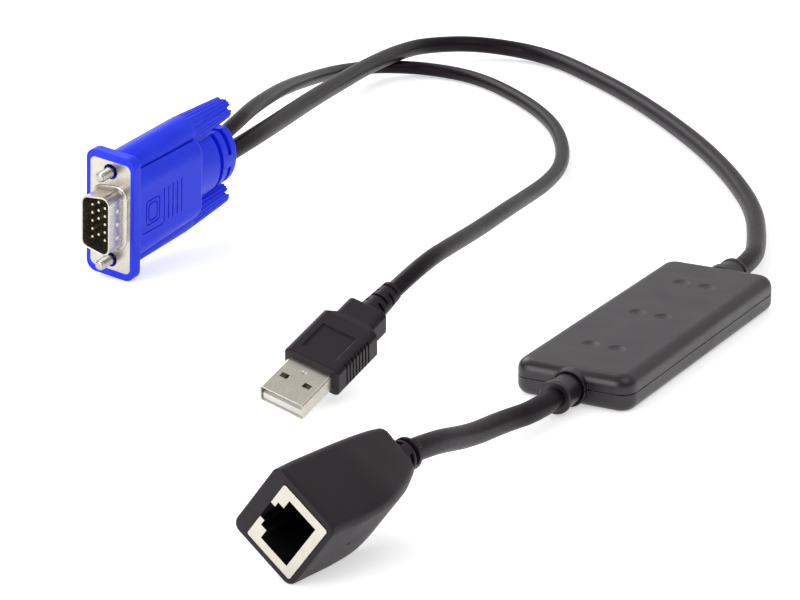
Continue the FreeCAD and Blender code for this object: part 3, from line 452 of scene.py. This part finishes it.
def rounded(corners: Sequence[Vector], radius: float, steps: int) -> list[Vector]:
    """Round the corners of a flat outline.

    Args:
        corners: The corners, in order round the outline.
        radius: The rounding's radius.
        steps: How many edges each corner gets.

    Returns:
        The rounded outline's points.
    """
    points = []
    for i, here in enumerate(corners):
        back = (corners[i - 1] - here).normalized()
        ahead = (corners[(i + 1) % len(corners)] - here).normalized()
        half = back.angle(ahead) / 2
        centre = here + (back + ahead).normalized() * (radius / math.sin(half))
        start = (here + back * (radius / math.tan(half)) - centre).normalized()
        finish = (here + ahead * (radius / math.tan(half)) - centre).normalized()
        points += [centre + start.slerp(finish, k / steps) * radius for k in range(steps + 1)]
    return points


def sweep(sections: Sequence[Sequence[Vector]], closed: bool = True,
          capped: bool = False) -> bpy.types.Mesh:
    """Skin a row of closed sections that have the same number of points.

    Args:
        sections: The sections, each a loop of points.
        closed: Whether the last section joins the first.
        capped: Whether the first and last sections get a face.

    Returns:
        The skinned mesh.
    """
    shape = bmesh.new()
    loops = [[shape.verts.new(p) for p in section] for section in sections]
    count = len(loops[0])
    pairs = list(zip(loops, loops[1:])) + ([(loops[-1], loops[0])] if closed else [])
    for here, there in pairs:
        for i in range(count):
            j = (i + 1) % count
            shape.faces.new((here[i], here[j], there[j], there[i]))
    if capped:
        shape.faces.new(loops[0])
        shape.faces.new(loops[-1])
    return sealed(shape, "swept")


class Rule:
    """A Geometry Nodes tree with named sizes, run once on a base mesh and then taken off it."""

    def __init__(self, name: str) -> None:
        """Start the tree with a geometry input and output.

        Args:
            name: The tree's name.
        """
        self.tree = bpy.data.node_groups.new(name, "GeometryNodeTree")
        for way in ("INPUT", "OUTPUT"):
            self.tree.interface.new_socket("Geometry", in_out=way, socket_type="NodeSocketGeometry")
        self.entry = self.tree.nodes.new("NodeGroupInput")
        self.values: dict[str, float | int] = {}

    def size(self, name: str, value: float | int) -> bpy.types.NodeSocket:
        """Add a named input to the tree and note the value that it gets.

        Args:
            name: The name that the input shows.
            value: What it is set to, a whole number or not.

        Returns:
            The input's socket inside the tree.
        """
        kind = "NodeSocketInt" if isinstance(value, int) else "NodeSocketFloat"
        item = self.tree.interface.new_socket(name, in_out="INPUT", socket_type=kind)
        self.values[item.identifier] = value
        return self.entry.outputs[name]

    def calc(self, operation: str, *terms: float | bpy.types.NodeSocket) -> bpy.types.NodeSocket:
        """The result of one Math node: its operation on one to three terms."""
        node = add_node(self.tree, "ShaderNodeMath", dict(enumerate(terms)), operation=operation)
        return node.outputs[0]

    def times(self, *factors: float | bpy.types.NodeSocket) -> bpy.types.NodeSocket:
        """The product of two or more factors.

        Args:
            factors: Numbers or sockets, with at least one socket.

        Returns:
            The last product.
        """
        product = factors[0]
        for factor in factors[1:]:
            product = self.calc("MULTIPLY", product, factor)
        return product

    def ramp(self, value: bpy.types.NodeSocket, low: Any, high: Any, start: float = 0.0, end: float = 1.0,
             smooth: bool = False) -> bpy.types.NodeSocket:
        """Map a value from low and high to start and end, held beyond them.

        Args:
            value: What to map.
            low: The value that gives the start.
            high: The value that gives the end.
            start: The result at low and beyond.
            end: The result at high and beyond.
            smooth: Whether the slope eases in and out.

        Returns:
            The mapped value.
        """
        limits = {"Value": value, "From Min": low, "From Max": high, "To Min": start, "To Max": end}
        return add_node(self.tree, "ShaderNodeMapRange", limits,
                        interpolation_type="SMOOTHSTEP" if smooth else "LINEAR").outputs[0]

    def around(self) -> tuple[bpy.types.NodeSocket, ...]:
        """Read each point's place, as seen from the x axis.

        Returns:
            Its x, y and z, its angle about the x axis, and its y and z alone as a vector.
        """
        at = add_node(self.tree, "GeometryNodeInputPosition")
        x, y, z = add_node(self.tree, "ShaderNodeSeparateXYZ", {0: at.outputs[0]}).outputs
        angle = self.calc("ARCTAN2", y, z)
        return x, y, z, angle, add_node(self.tree, "ShaderNodeCombineXYZ", {1: y, 2: z}).outputs[0]

    def move(self, how: str, vector: bpy.types.NodeSocket) -> bpy.types.NodeSocket:
        """Move the base mesh: to a new "Position", or by an "Offset"."""
        return add_node(self.tree, "GeometryNodeSetPosition", {"Geometry": self.entry.outputs["Geometry"],
                                                               how: vector}).outputs[0]

    def push_in(self, flat: bpy.types.NodeSocket, depth: bpy.types.NodeSocket) -> bpy.types.NodeSocket:
        """Push the base mesh towards the x axis by a depth, along each point's flat vector.

        Args:
            flat: Each point's y and z alone.
            depth: How far it moves, in millimetres.

        Returns:
            The moved geometry.
        """
        way = add_node(self.tree, "ShaderNodeVectorMath", {0: flat}, operation="NORMALIZE").outputs[0]
        shift = add_node(self.tree, "ShaderNodeVectorMath", {0: way, "Scale": self.times(depth, -1.0)},
                         operation="SCALE").outputs[0]
        return self.move("Offset", shift)

    def run(self, base: bpy.types.Mesh, result: bpy.types.NodeSocket,
            material: bpy.types.Material) -> bpy.types.Mesh:
        """End the tree, run it on a base mesh and return the plain mesh that comes out.

        Args:
            base: The mesh that the tree starts from.
            result: The geometry to end with.
            material: The finish that it gets.

        Returns:
            The finished mesh.
        """
        real = add_node(self.tree, "GeometryNodeRealizeInstances", {"Geometry": result})
        dressed = add_node(self.tree, "GeometryNodeSetMaterial", {"Geometry": real.outputs[0],
                                                                  "Material": material})
        add_node(self.tree, "NodeGroupOutput", {0: dressed.outputs[0]})
        host = bpy.data.objects.new(self.tree.name, base)
        bpy.context.scene.collection.objects.link(host)
        modifier = host.modifiers.new(self.tree.name, "NODES")
        modifier.node_group = self.tree
        for identifier, value in self.values.items():
            modifier[identifier] = value
        bpy.context.view_layer.update()
        view = host.evaluated_get(bpy.context.evaluated_depsgraph_get())
        mesh = bpy.data.meshes.new_from_object(view)
        bpy.data.objects.remove(host)
        return mesh


def settle(name: str, mesh: bpy.types.Mesh, place: Matrix, finish: Finish, wardrobe: "Wardrobe",
           body: str = MAIN_BODY, stands_for: Sequence[str] = (), crease: float = 35.0) -> bpy.types.Object:
    """Put a finished mesh in its place and make it a piece of the model.

    Args:
        name: The piece's name.
        mesh: Its mesh, in its connector's millimetres.
        place: The matrix to the row frame, in metres.
        finish: Its finish.
        wardrobe: The finishes.
        body: The body that it rides on.
        stands_for: The CAD nodes that it replaces.
        crease: Edges sharper than this many degrees stay sharp.

    Returns:
        The piece's object, at the origin.
    """
    mesh.transform(place)
    mesh.materials.clear()
    mesh.materials.append(wardrobe.material(finish))
    mesh.shade_smooth()
    mesh.set_sharp_from_angle(angle=math.radians(crease))
    piece = bpy.data.objects.new(name, mesh)
    bpy.context.scene.collection.objects.link(piece)
    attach(piece, body)
    if stands_for:
        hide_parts(*stands_for)
    log.info("made %s: %d faces", name, len(mesh.polygons))
    return piece


# ---- VGA plug ---------------------------------------------------------------------------------
@dataclass
class ThumbScrew:
    """A long moulded knob, smooth in front and fluted behind, with a threaded jackscrew in it."""
    side: int
    wardrobe: Wardrobe
    spacing: float = 24.99
    front: float = -3.5
    length: float = 46.8
    radius: float = 4.35
    rear_radius: float = 3.25
    fluted_from: float = -30.5
    flutes: int = 22
    flute_depth: float = 0.3
    teeth: int = 5
    tooth_depth: float = 1.8
    flute_fade: float = 2.0
    bore: float = 2.3
    screw_radius: float = 1.42
    screw_reach: float = 5.0
    shank_radius: float = 1.1
    shank_from: float = -17.0
    plain_end: float = 0.5
    pitch: float = 0.635
    thread_depth: float = 0.36

    def place(self) -> Matrix:
        """The matrix from the screw's own axis to the row frame."""
        return VGA.matrix() @ Matrix.Translation((0, 0, self.side * self.spacing / 2))

    def names(self) -> tuple[str, str]:
        """The ends of this screw's body and node names."""
        word = "upper" if self.side > 0 else "lower"
        return "thumbscrew_" + word, word

    def knob_profile(self) -> list[tuple[float, float]]:
        """The knob's profile, finely divided where it is fluted.

        Returns:
            (x, radius) from the front to the bottom of the finger hole.
        """
        tail = self.front - self.length
        profile = [(self.front, 0.6), (self.front, self.radius - 0.5)]
        profile += [(self.front - 0.15, self.radius - 0.15), (self.front - 0.5, self.radius),
                    (self.fluted_from + 1.0, self.radius)]
        steps = 44
        for i in range(steps + 1):
            share = i / steps
            x = self.fluted_from + (tail + 0.5 - self.fluted_from) * share
            profile.append((x, self.radius + (self.rear_radius - self.radius) * share))
        profile += [(tail + 0.15, self.rear_radius - 0.15), (tail, self.rear_radius - 0.5)]
        profile += [(tail, self.bore + 0.1), (tail + 0.1, self.bore), (tail + 1.9, self.bore),
                    (tail + 2.1, self.bore), (tail + 6.0, self.bore), (tail + 6.0, 0.4)]
        return profile

    def knob(self) -> None:
        """Make the knob: a turned body that one rule flutes and gives its toothed tail."""
        rule = Rule("fluted_knob")
        tree = rule.tree
        count, depth = rule.size("Flutes", self.flutes), rule.size("Flute Depth", self.flute_depth)
        start, teeth = rule.size("Fluted From", self.fluted_from), rule.size("Teeth", self.teeth)
        tail = rule.size("Tail", self.front - self.length)
        tooth = rule.size("Tooth Depth", self.tooth_depth)
        skin = rule.size("Skin Radius", self.bore + 0.4)
        x, y, z, angle, flat = rule.around()
        radius = add_node(tree, "ShaderNodeVectorMath", {0: flat}, operation="LENGTH").outputs["Value"]
        wave = rule.ramp(rule.calc("COSINE", rule.times(angle, count)), -0.3, 0.9, smooth=True)
        fade = rule.ramp(x, start, rule.calc("SUBTRACT", start, self.flute_fade), smooth=True)
        outside = rule.calc("GREATER_THAN", radius, skin)
        lower = rule.calc("SUBTRACT", radius, rule.times(wave, fade, outside, depth))
        share = rule.calc("DIVIDE", lower, radius)
        gap = rule.ramp(rule.calc("COSINE", rule.times(angle, teeth)), 0.35, 0.6)
        reach = rule.calc("MAXIMUM", x, rule.calc("MULTIPLY_ADD", gap, tooth, tail))
        moved = add_node(tree, "ShaderNodeCombineXYZ", {0: reach, 1: rule.times(y, share),
                                                        2: rule.times(z, share)}).outputs[0]
        result = rule.move("Position", moved)
        mesh = rule.run(lathe(self.knob_profile(), 144), result, self.wardrobe.material(Finish.blue_mould))
        body, word = self.names()
        settle("vga_fluted_knob_" + word, mesh, self.place(), Finish.blue_mould, self.wardrobe, body,
               ["vga_thumbscrew_knob_" + word], 50.0)

    def screw(self) -> None:
        """Make the jackscrew: a plain shank, and a stretch that one rule threads."""
        rule = Rule("screw_thread")
        pitch, depth = rule.size("Pitch", self.pitch), rule.size("Thread Depth", self.thread_depth)
        start = rule.size("Thread Start", self.plain_end + 0.05)
        end = rule.size("Thread End", self.screw_reach - 0.35)
        x, _, _, angle, flat = rule.around()
        turns = rule.calc("ADD", rule.calc("DIVIDE", x, pitch), rule.calc("DIVIDE", angle, 2 * math.pi))
        ridge = rule.ramp(rule.calc("PINGPONG", turns, 0.5), 0.08, 0.42, 1.0, 0.0)
        within = rule.calc("GREATER_THAN", x, start), rule.calc("LESS_THAN", x, end)
        result = rule.push_in(flat, rule.times(ridge, depth, *within))
        steps = 90
        plain = [(self.shank_from, 0.5), (self.shank_from, self.shank_radius),
                 (self.plain_end - 0.05, self.shank_radius), (self.plain_end, self.screw_radius)]
        cut = [(self.plain_end + (self.screw_reach - 1.1) * i / steps, self.screw_radius)
               for i in range(1, steps + 1)]
        tip = [(self.screw_reach - 0.3, 1.2), (self.screw_reach - 0.1, 0.9), (self.screw_reach, 0.5)]
        mesh = rule.run(lathe(plain + cut + tip, 48), result, self.wardrobe.material(Finish.steel))
        body, word = self.names()
        settle("vga_threaded_jackscrew_" + word, mesh, self.place(), Finish.steel, self.wardrobe, body,
               ["vga_jackscrew_" + word], 60.0)

    def build(self) -> None:
        """Make both pieces."""
        self.knob()
        self.screw()


@dataclass
class VideoPlugFace:
    """What shows in the VGA plug's mouth: the contact pins, and the skirt's rounded root and rim."""
    wardrobe: Wardrobe
    skirt_width: float = 8.9
    skirt_height: float = 17.2
    skirt_reach: float = 6.4
    skirt_wall: float = 0.4
    corner: float = 2.3
    slope: float = 10.0
    root: float = 0.9
    pin_radius: float = 0.38
    pin_reach: float = 5.2
    pin_pitch: float = 2.29
    row_pitch: float = 1.98
    key_pin: int = 9

    def loop(self, grow: float, x: float, per_corner: int = 10) -> list[Vector]:
        """The skirt's D outline, wide on +y, grown by some margin and set across x.

        Args:
            grow: The margin, less than 0 to shrink it.
            x: Where the outline lies.
            per_corner: How many edges each corner gets.

        Returns:
            The outline's points.
        """
        tilt = math.tan(math.radians(self.slope))
        side = self.skirt_width / 2 + grow
        end = self.skirt_height / 2 + grow / math.cos(math.radians(self.slope))
        wide, narrow = end + grow * tilt, end - (self.skirt_width + grow) * tilt
        corners = [Vector((x, -side, -narrow)), Vector((x, side, -wide)), Vector((x, side, wide)),
                   Vector((x, -side, narrow))]
        return rounded(corners, max(self.corner + grow, 0.2), per_corner)

    def pins(self) -> None:
        """Set the round-nosed pins out in their three staggered rows with one rule."""
        rule = Rule("pin_rows")
        tree = rule.tree
        radius, reach = rule.size("Pin Radius", self.pin_radius), rule.size("Pin Reach", self.pin_reach)
        half = rule.times(reach, 0.5)
        nose = rule.calc("SUBTRACT", reach, radius)
        shank = add_node(tree, "GeometryNodeMeshCylinder",
                         {"Vertices": 20, "Radius": radius, "Depth": nose})
        lift = add_node(tree, "ShaderNodeCombineXYZ", {0: half}).outputs[0]
        turned = add_node(tree, "GeometryNodeTransform",
                          {"Geometry": shank.outputs["Mesh"], "Translation": lift,
                           "Rotation": (0, math.pi / 2, 0)})
        ball = add_node(tree, "GeometryNodeMeshUVSphere", {"Segments": 20, "Rings": 12, "Radius": radius})
        out = add_node(tree, "ShaderNodeCombineXYZ", {0: nose}).outputs[0]
        tip = add_node(tree, "GeometryNodeTransform",
                       {"Geometry": ball.outputs["Mesh"], "Translation": out})
        pin = add_node(tree, "GeometryNodeJoinGeometry")
        tree.links.new(turned.outputs[0], pin.inputs[0])
        tree.links.new(tip.outputs[0], pin.inputs[0])
        rows = add_node(tree, "GeometryNodeInstanceOnPoints", {"Points": rule.entry.outputs["Geometry"],
                                                               "Instance": pin.outputs[0]})
        places = []
        for row, shift in ((1, 0.0), (0, 0.5), (-1, 0.0)):
            for step in range(5):
                if (1 - row) * 5 + step + 1 != self.key_pin:
                    places.append((0.0, row * self.row_pitch, (2 - step + shift) * self.pin_pitch))
        base = bpy.data.meshes.new("pin_places")
        base.from_pydata(places, [], [])
        mesh = rule.run(base, rows.outputs[0], self.wardrobe.material(Finish.gold))
        settle("vga_contact_pins", mesh, VGA.matrix(), Finish.gold, self.wardrobe, stands_for=["vga_pins"])

    def skirt_edges(self) -> None:
        """Round the skirt's root into the flange, and roll its rim."""
        steps = 8
        outer = []
        for i in range(steps + 1):
            turn = math.pi / 2 * i / steps
            outer.append((self.root * (1 - math.sin(turn)), self.root * (1 - math.cos(turn))))
        sections = [self.loop(grow + 0.02, x + 0.02) for grow, x in outer]
        sections += [self.loop(-0.1, self.root), self.loop(-0.1, 0.0)]
        settle("vga_skirt_root", sweep(sections), VGA.matrix(), Finish.nickel, self.wardrobe, crease=60.0)
        rim, wall = [], self.skirt_wall / 2
        for i in range(12):
            turn = 2 * math.pi * i / 12
            rim.append((-wall + (wall + 0.06) * math.cos(turn),
                        self.skirt_reach - 0.05 + 0.16 * math.sin(turn)))
        settle("vga_skirt_rim", sweep([self.loop(g, x) for g, x in rim]), VGA.matrix(), Finish.nickel,
               self.wardrobe, crease=60.0)

    def build(self) -> None:
        """Make every piece of the face."""
        self.pins()
        self.skirt_edges()


# ---- RJ45 socket ------------------------------------------------------------------------------
@dataclass
class SocketShell:
    """The soft housing of the RJ45 socket: square at the mouth, bellied below, drawn in behind."""
    wardrobe: Wardrobe
    corner: float = 2.1
    front_round: float = 0.6
    rear_round: float = 1.4
    pocket_width: float = 16.16
    pocket_height: float = 12.76
    pocket_depth: float = 19.1
    collar_radius: float = 3.65
    pin_radius: float = 0.45
    pin_setback: float = 11.1
    collar_y: float = 2.0
    collar_z: float = 0.7
    slot_pairs: int = 2
    slot_depth: float = 0.9
    first_slot: float = -37.9
    slot_pitch: float = 2.0
    collar_front: float = -35.9
    collar_rear: float = -42.3
    cord_room: float = 2.7

    STATIONS: ClassVar[tuple[tuple[float, ...], ...]] = (
        (0.0, 9.75, 10.1, 9.75, 7.6), (-5.5, 9.4, 10.0, 9.5, 8.05), (-11.7, 8.9, 9.7, 9.3, 8.55),
        (-20.0, 8.3, 9.2, 9.3, 8.5), (-27.0, 7.7, 8.7, 8.0, 7.3), (-32.1, 7.3, 8.2, 6.8, 5.6),
        (-36.5, 6.9, 7.5, 5.6, 3.9))

    def sizes(self, x: float) -> list[float]:
        """The section's four sizes at one place, smoothed between the stations.

        Args:
            x: The place, 0 at the mouth and less than 0 behind it.

        Returns:
            Half-width above, height above, half-width below and depth below.
        """
        rows = self.STATIONS
        i = max(k for k in range(len(rows) - 1) if x <= rows[k][0])
        before, here = rows[max(i - 1, 0)], rows[i]
        there, after = rows[i + 1], rows[min(i + 2, len(rows) - 1)]
        t = (x - here[0]) / (there[0] - here[0])
        values = []
        for k in range(1, 5):
            rise_in = (there[k] - before[k]) / (there[0] - before[0]) * (there[0] - here[0])
            rise_out = (after[k] - here[k]) / (after[0] - here[0]) * (there[0] - here[0])
            values.append((2 * t**3 - 3 * t**2 + 1) * here[k] + (t**3 - 2 * t**2 + t) * rise_in
                          + (3 * t**2 - 2 * t**3) * there[k] + (t**3 - t**2) * rise_out)
        return values

    def loop(self, x: float, sizes: Sequence[float], inset: float, radius: float,
             steps: int = 8) -> list[Vector]:
        """A four-sided outline across x, with round corners, drawn in by an inset.

        Args:
            x: Where the outline lies.
            sizes: Half-width and height above, half-width and depth below.
            inset: How much each size is drawn in.
            radius: The rounding of the corners.
            steps: How many edges each corner gets.

        Returns:
            The outline's points.
        """
        upper, high, lower, low = (value - inset for value in sizes)
        corners = [Vector((x, -lower, -low)), Vector((x, lower, -low)), Vector((x, upper, high)),
                   Vector((x, -upper, high))]
        return rounded(corners, radius, steps)

    def housing(self) -> None:
        """Skin the housing from the back of its pocket, over the mouth, to its tail."""
        pocket = [self.pocket_width / 2, self.pocket_height / 2] * 2
        tail = self.STATIONS[-1][0]
        sections = [self.loop(-self.pocket_depth, pocket, 0, 0.12), self.loop(-0.1, pocket, 0, 0.12),
                    self.loop(0.0, pocket, -0.08, 0.2)]
        for k in range(6):
            turn = math.pi / 2 * k / 5
            inset = self.front_round * (1 - math.sin(turn))
            sections.append(self.loop(-self.front_round * (1 - math.cos(turn)), self.sizes(0.0), inset,
                                      self.corner - inset * 0.5))
        for k in range(1, 30):
            x = -self.front_round + (tail + self.rear_round + self.front_round) * k / 29
            sections.append(self.loop(x, self.sizes(x), 0, self.corner))
        for k in range(1, 7):
            turn = math.pi / 2 * k / 6
            x = tail + self.rear_round * (1 - math.sin(turn))
            inset = self.rear_round * (1 - math.cos(turn))
            sections.append(self.loop(x, self.sizes(x), inset, self.corner))
        rule = Rule("moulding_pin_hole")
        tree = rule.tree
        radius = rule.size("Pin Radius", self.pin_radius)
        back = rule.size("Pin Setback", -self.pin_setback)
        below = rule.size("Belly Depth", -self.sizes(-self.pin_setback)[3])
        pin = add_node(tree, "GeometryNodeMeshCylinder", {"Vertices": 24, "Radius": radius, "Depth": 1.6})
        at = add_node(tree, "ShaderNodeCombineXYZ", {0: back, 2: below}).outputs[0]
        cutter = add_node(tree, "GeometryNodeTransform",
                          {"Geometry": pin.outputs["Mesh"], "Translation": at})
        solids = {"Mesh 1": rule.entry.outputs["Geometry"], "Mesh 2": cutter.outputs[0]}
        cut = add_node(tree, "GeometryNodeMeshBoolean", solids, operation="DIFFERENCE")
        mesh = rule.run(sweep(sections, closed=False, capped=True), cut.outputs["Mesh"],
                        self.wardrobe.material(Finish.black_mould))
        settle("jack_formed_housing", mesh, JACK.matrix(), Finish.black_mould, self.wardrobe,
               stands_for=["jack_housing"], crease=40.0)

    def collar(self) -> None:
        """Turn the collar behind the housing, and cut its paired slots with one rule."""
        rule = Rule("slotted_collar")
        pairs, depth = rule.size("Slot Pairs", self.slot_pairs), rule.size("Slot Depth", self.slot_depth)
        first, pitch = rule.size("First Slot", self.first_slot), rule.size("Slot Pitch", self.slot_pitch)
        x, _, _, angle, flat = rule.around()
        row = rule.calc("DIVIDE", rule.calc("SUBTRACT", first, x), pitch)
        near = rule.calc("ROUND", row)
        band = rule.ramp(rule.calc("ABSOLUTE", rule.calc("SUBTRACT", row, near)), 0.3, 0.24)
        real = rule.calc("GREATER_THAN", near, -0.5)
        turn = rule.calc("MULTIPLY_ADD", near, math.pi / 2, angle)
        open_arc = rule.ramp(rule.calc("COSINE", rule.times(turn, pairs)), -0.75, -0.6)
        result = rule.push_in(flat, rule.times(band, open_arc, real, depth))
        steps = 70
        front, rear = self.collar_front, self.collar_rear
        profile = [(front, self.cord_room), (front, self.collar_radius)]
        profile += [(front - 6.0 * i / steps, self.collar_radius) for i in range(1, steps + 1)]
        profile += [(rear + 0.2, self.collar_radius - 0.1), (rear, self.collar_radius - 0.5),
                    (rear, self.cord_room)]
        mesh = rule.run(lathe(profile, 96), result, self.wardrobe.material(Finish.black_mould))
        place = JACK.matrix() @ Matrix.Translation((0, self.collar_y, self.collar_z))
        settle("jack_slotted_collar", mesh, place, Finish.black_mould, self.wardrobe, crease=45.0)

    def build(self) -> None:
        """Make every piece of the shell."""
        self.housing()
        self.collar()


# ---- studio -----------------------------------------------------------------------------------
@dataclass(frozen=True)
class Studio:
    """A white table under a large soft box, with a long lens from the front right."""
    camera_place: tuple[float, float, float] = (0.28134, -0.61266, 0.24429)
    looks_at: tuple[float, float, float] = (-0.0709, 0.00319, 0.0)
    camera_turn: float = -0.515
    lens_mm: float = 133.29
    floor_colour: str = "#f4f4f5"
    back_strength: float = 0.7
    front_strength: float = 0.3
    floor_half_m: float = 6.0
    floor_glow: float = 0.5

    def camera(self) -> None:
        """Place the camera."""
        data = bpy.data.cameras.new("camera")
        data.lens, data.sensor_width = self.lens_mm, 36.0
        data.clip_start, data.clip_end = 0.01, 20.0
        camera = bpy.data.objects.new("camera", data)
        bpy.context.scene.collection.objects.link(camera)
        place, target = Vector(self.camera_place), Vector(self.looks_at)
        facing = (target - place).to_track_quat("-Z", "Y").to_matrix().to_4x4()
        twist = Matrix.Rotation(math.radians(self.camera_turn), 4, "Z")
        camera.matrix_world = Matrix.Translation(place) @ facing @ twist
        bpy.context.scene.camera = camera

    def lamp(self, name: str, place: tuple[float, float, float], size: float, watts: float) -> None:
        """Hang one square white soft box that faces the middle of the table.

        Args:
            name: The lamp's name.
            place: Where it hangs, in metres.
            size: Its edge, in metres.
            watts: Its power.
        """
        data = bpy.data.lights.new(name, "AREA")
        data.shape, data.size, data.energy = "SQUARE", size, watts
        lamp = bpy.data.objects.new(name, data)
        bpy.context.scene.collection.objects.link(lamp)
        at = Vector(place)
        lamp.matrix_world = Matrix.Translation(at) @ (-at).to_track_quat("-Z", "Y").to_matrix().to_4x4()

    def floor(self) -> None:
        """Lay the table top, white where the lamps reach it and shaded under the object."""
        mesh = bpy.data.meshes.new("table_top")
        half = self.floor_half_m
        mesh.from_pydata([(-half, -half, 0), (half, -half, 0), (half, half, 0), (-half, half, 0)], [],
                         [(0, 1, 2, 3)])
        floor = bpy.data.objects.new("table_top", mesh)
        bpy.context.scene.collection.objects.link(floor)
        material = bpy.data.materials.new("white_table")
        material.use_nodes = True
        tree = material.node_tree
        tree.nodes.clear()
        matt = add_node(tree, "ShaderNodeBsdfDiffuse", {"Color": linear(self.floor_colour)})
        glow = add_node(tree, "ShaderNodeEmission", {"Color": (1, 1, 1, 1), "Strength": self.floor_glow})
        rays = add_node(tree, "ShaderNodeLightPath")
        seen = add_node(tree, "ShaderNodeMath", {0: rays.outputs["Is Camera Ray"],
                                                 1: rays.outputs["Is Glossy Ray"]}, operation="MAXIMUM")
        dark = add_node(tree, "ShaderNodeEmission", {"Color": (0, 0, 0, 1)})
        lift = add_node(tree, "ShaderNodeMixShader", {0: seen.outputs[0], 1: dark.outputs[0],
                                                      2: glow.outputs[0]})
        both = add_node(tree, "ShaderNodeAddShader", {0: matt.outputs[0], 1: lift.outputs[0]})
        add_node(tree, "ShaderNodeOutputMaterial", {"Surface": both.outputs[0]})
        mesh.materials.append(material)

    def world(self) -> None:
        """Light the room evenly, and show plain white behind the table."""
        world = bpy.data.worlds.new("studio")
        bpy.context.scene.world = world
        world.use_nodes = True
        tree = world.node_tree
        tree.nodes.clear()
        rays = add_node(tree, "ShaderNodeLightPath")
        way = add_node(tree, "ShaderNodeTexCoord")
        lean = add_node(tree, "ShaderNodeVectorMath", {0: way.outputs["Generated"], 1: (-0.42, 0.82, 0.39)},
                        operation="DOT_PRODUCT")
        strength = add_node(tree, "ShaderNodeMapRange", {"Value": lean.outputs["Value"], "From Min": -0.7,
                                                         "From Max": 0.9, "To Min": self.front_strength,
                                                         "To Max": self.back_strength},
                            interpolation_type="SMOOTHSTEP")
        fill = add_node(tree, "ShaderNodeBackground", {"Color": (1, 1, 1, 1),
                                                       "Strength": strength.outputs["Result"]})
        white = add_node(tree, "ShaderNodeBackground", {"Color": (1, 1, 1, 1), "Strength": 1.0})
        mixed = add_node(tree, "ShaderNodeMixShader", {0: rays.outputs["Is Camera Ray"], 1: fill.outputs[0],
                                                       2: white.outputs[0]})
        add_node(tree, "ShaderNodeOutputWorld", {"Surface": mixed.outputs[0]})

    def build(self) -> None:
        """Build the whole studio."""
        self.camera()
        self.floor()
        self.world()
        self.lamp("key_box", (-1.2, 0.6, 0.95), 1.0, 9.5)
        self.lamp("right_box", (0.75, -0.3, 1.3), 1.2, 5.0)
        self.lamp("front_box", (-0.45, -1.1, 0.45), 0.8, 7.0)
        bpy.context.scene.view_settings.view_transform = "Standard"


def main() -> None:
    """Build every piece in order."""
    logging.basicConfig(level=logging.INFO)
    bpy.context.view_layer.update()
    Studio().build()
    wardrobe = Wardrobe()
    wardrobe.dress_nodes()
    for side in (1, -1):
        ThumbScrew(side, wardrobe).build()
    VideoPlugFace(wardrobe).build()
    SocketShell(wardrobe).build()
    cords = Cords(wardrobe)
    cords.video()
    cords.usb()
    cords.network()


if __name__ == "__main__":
    main()
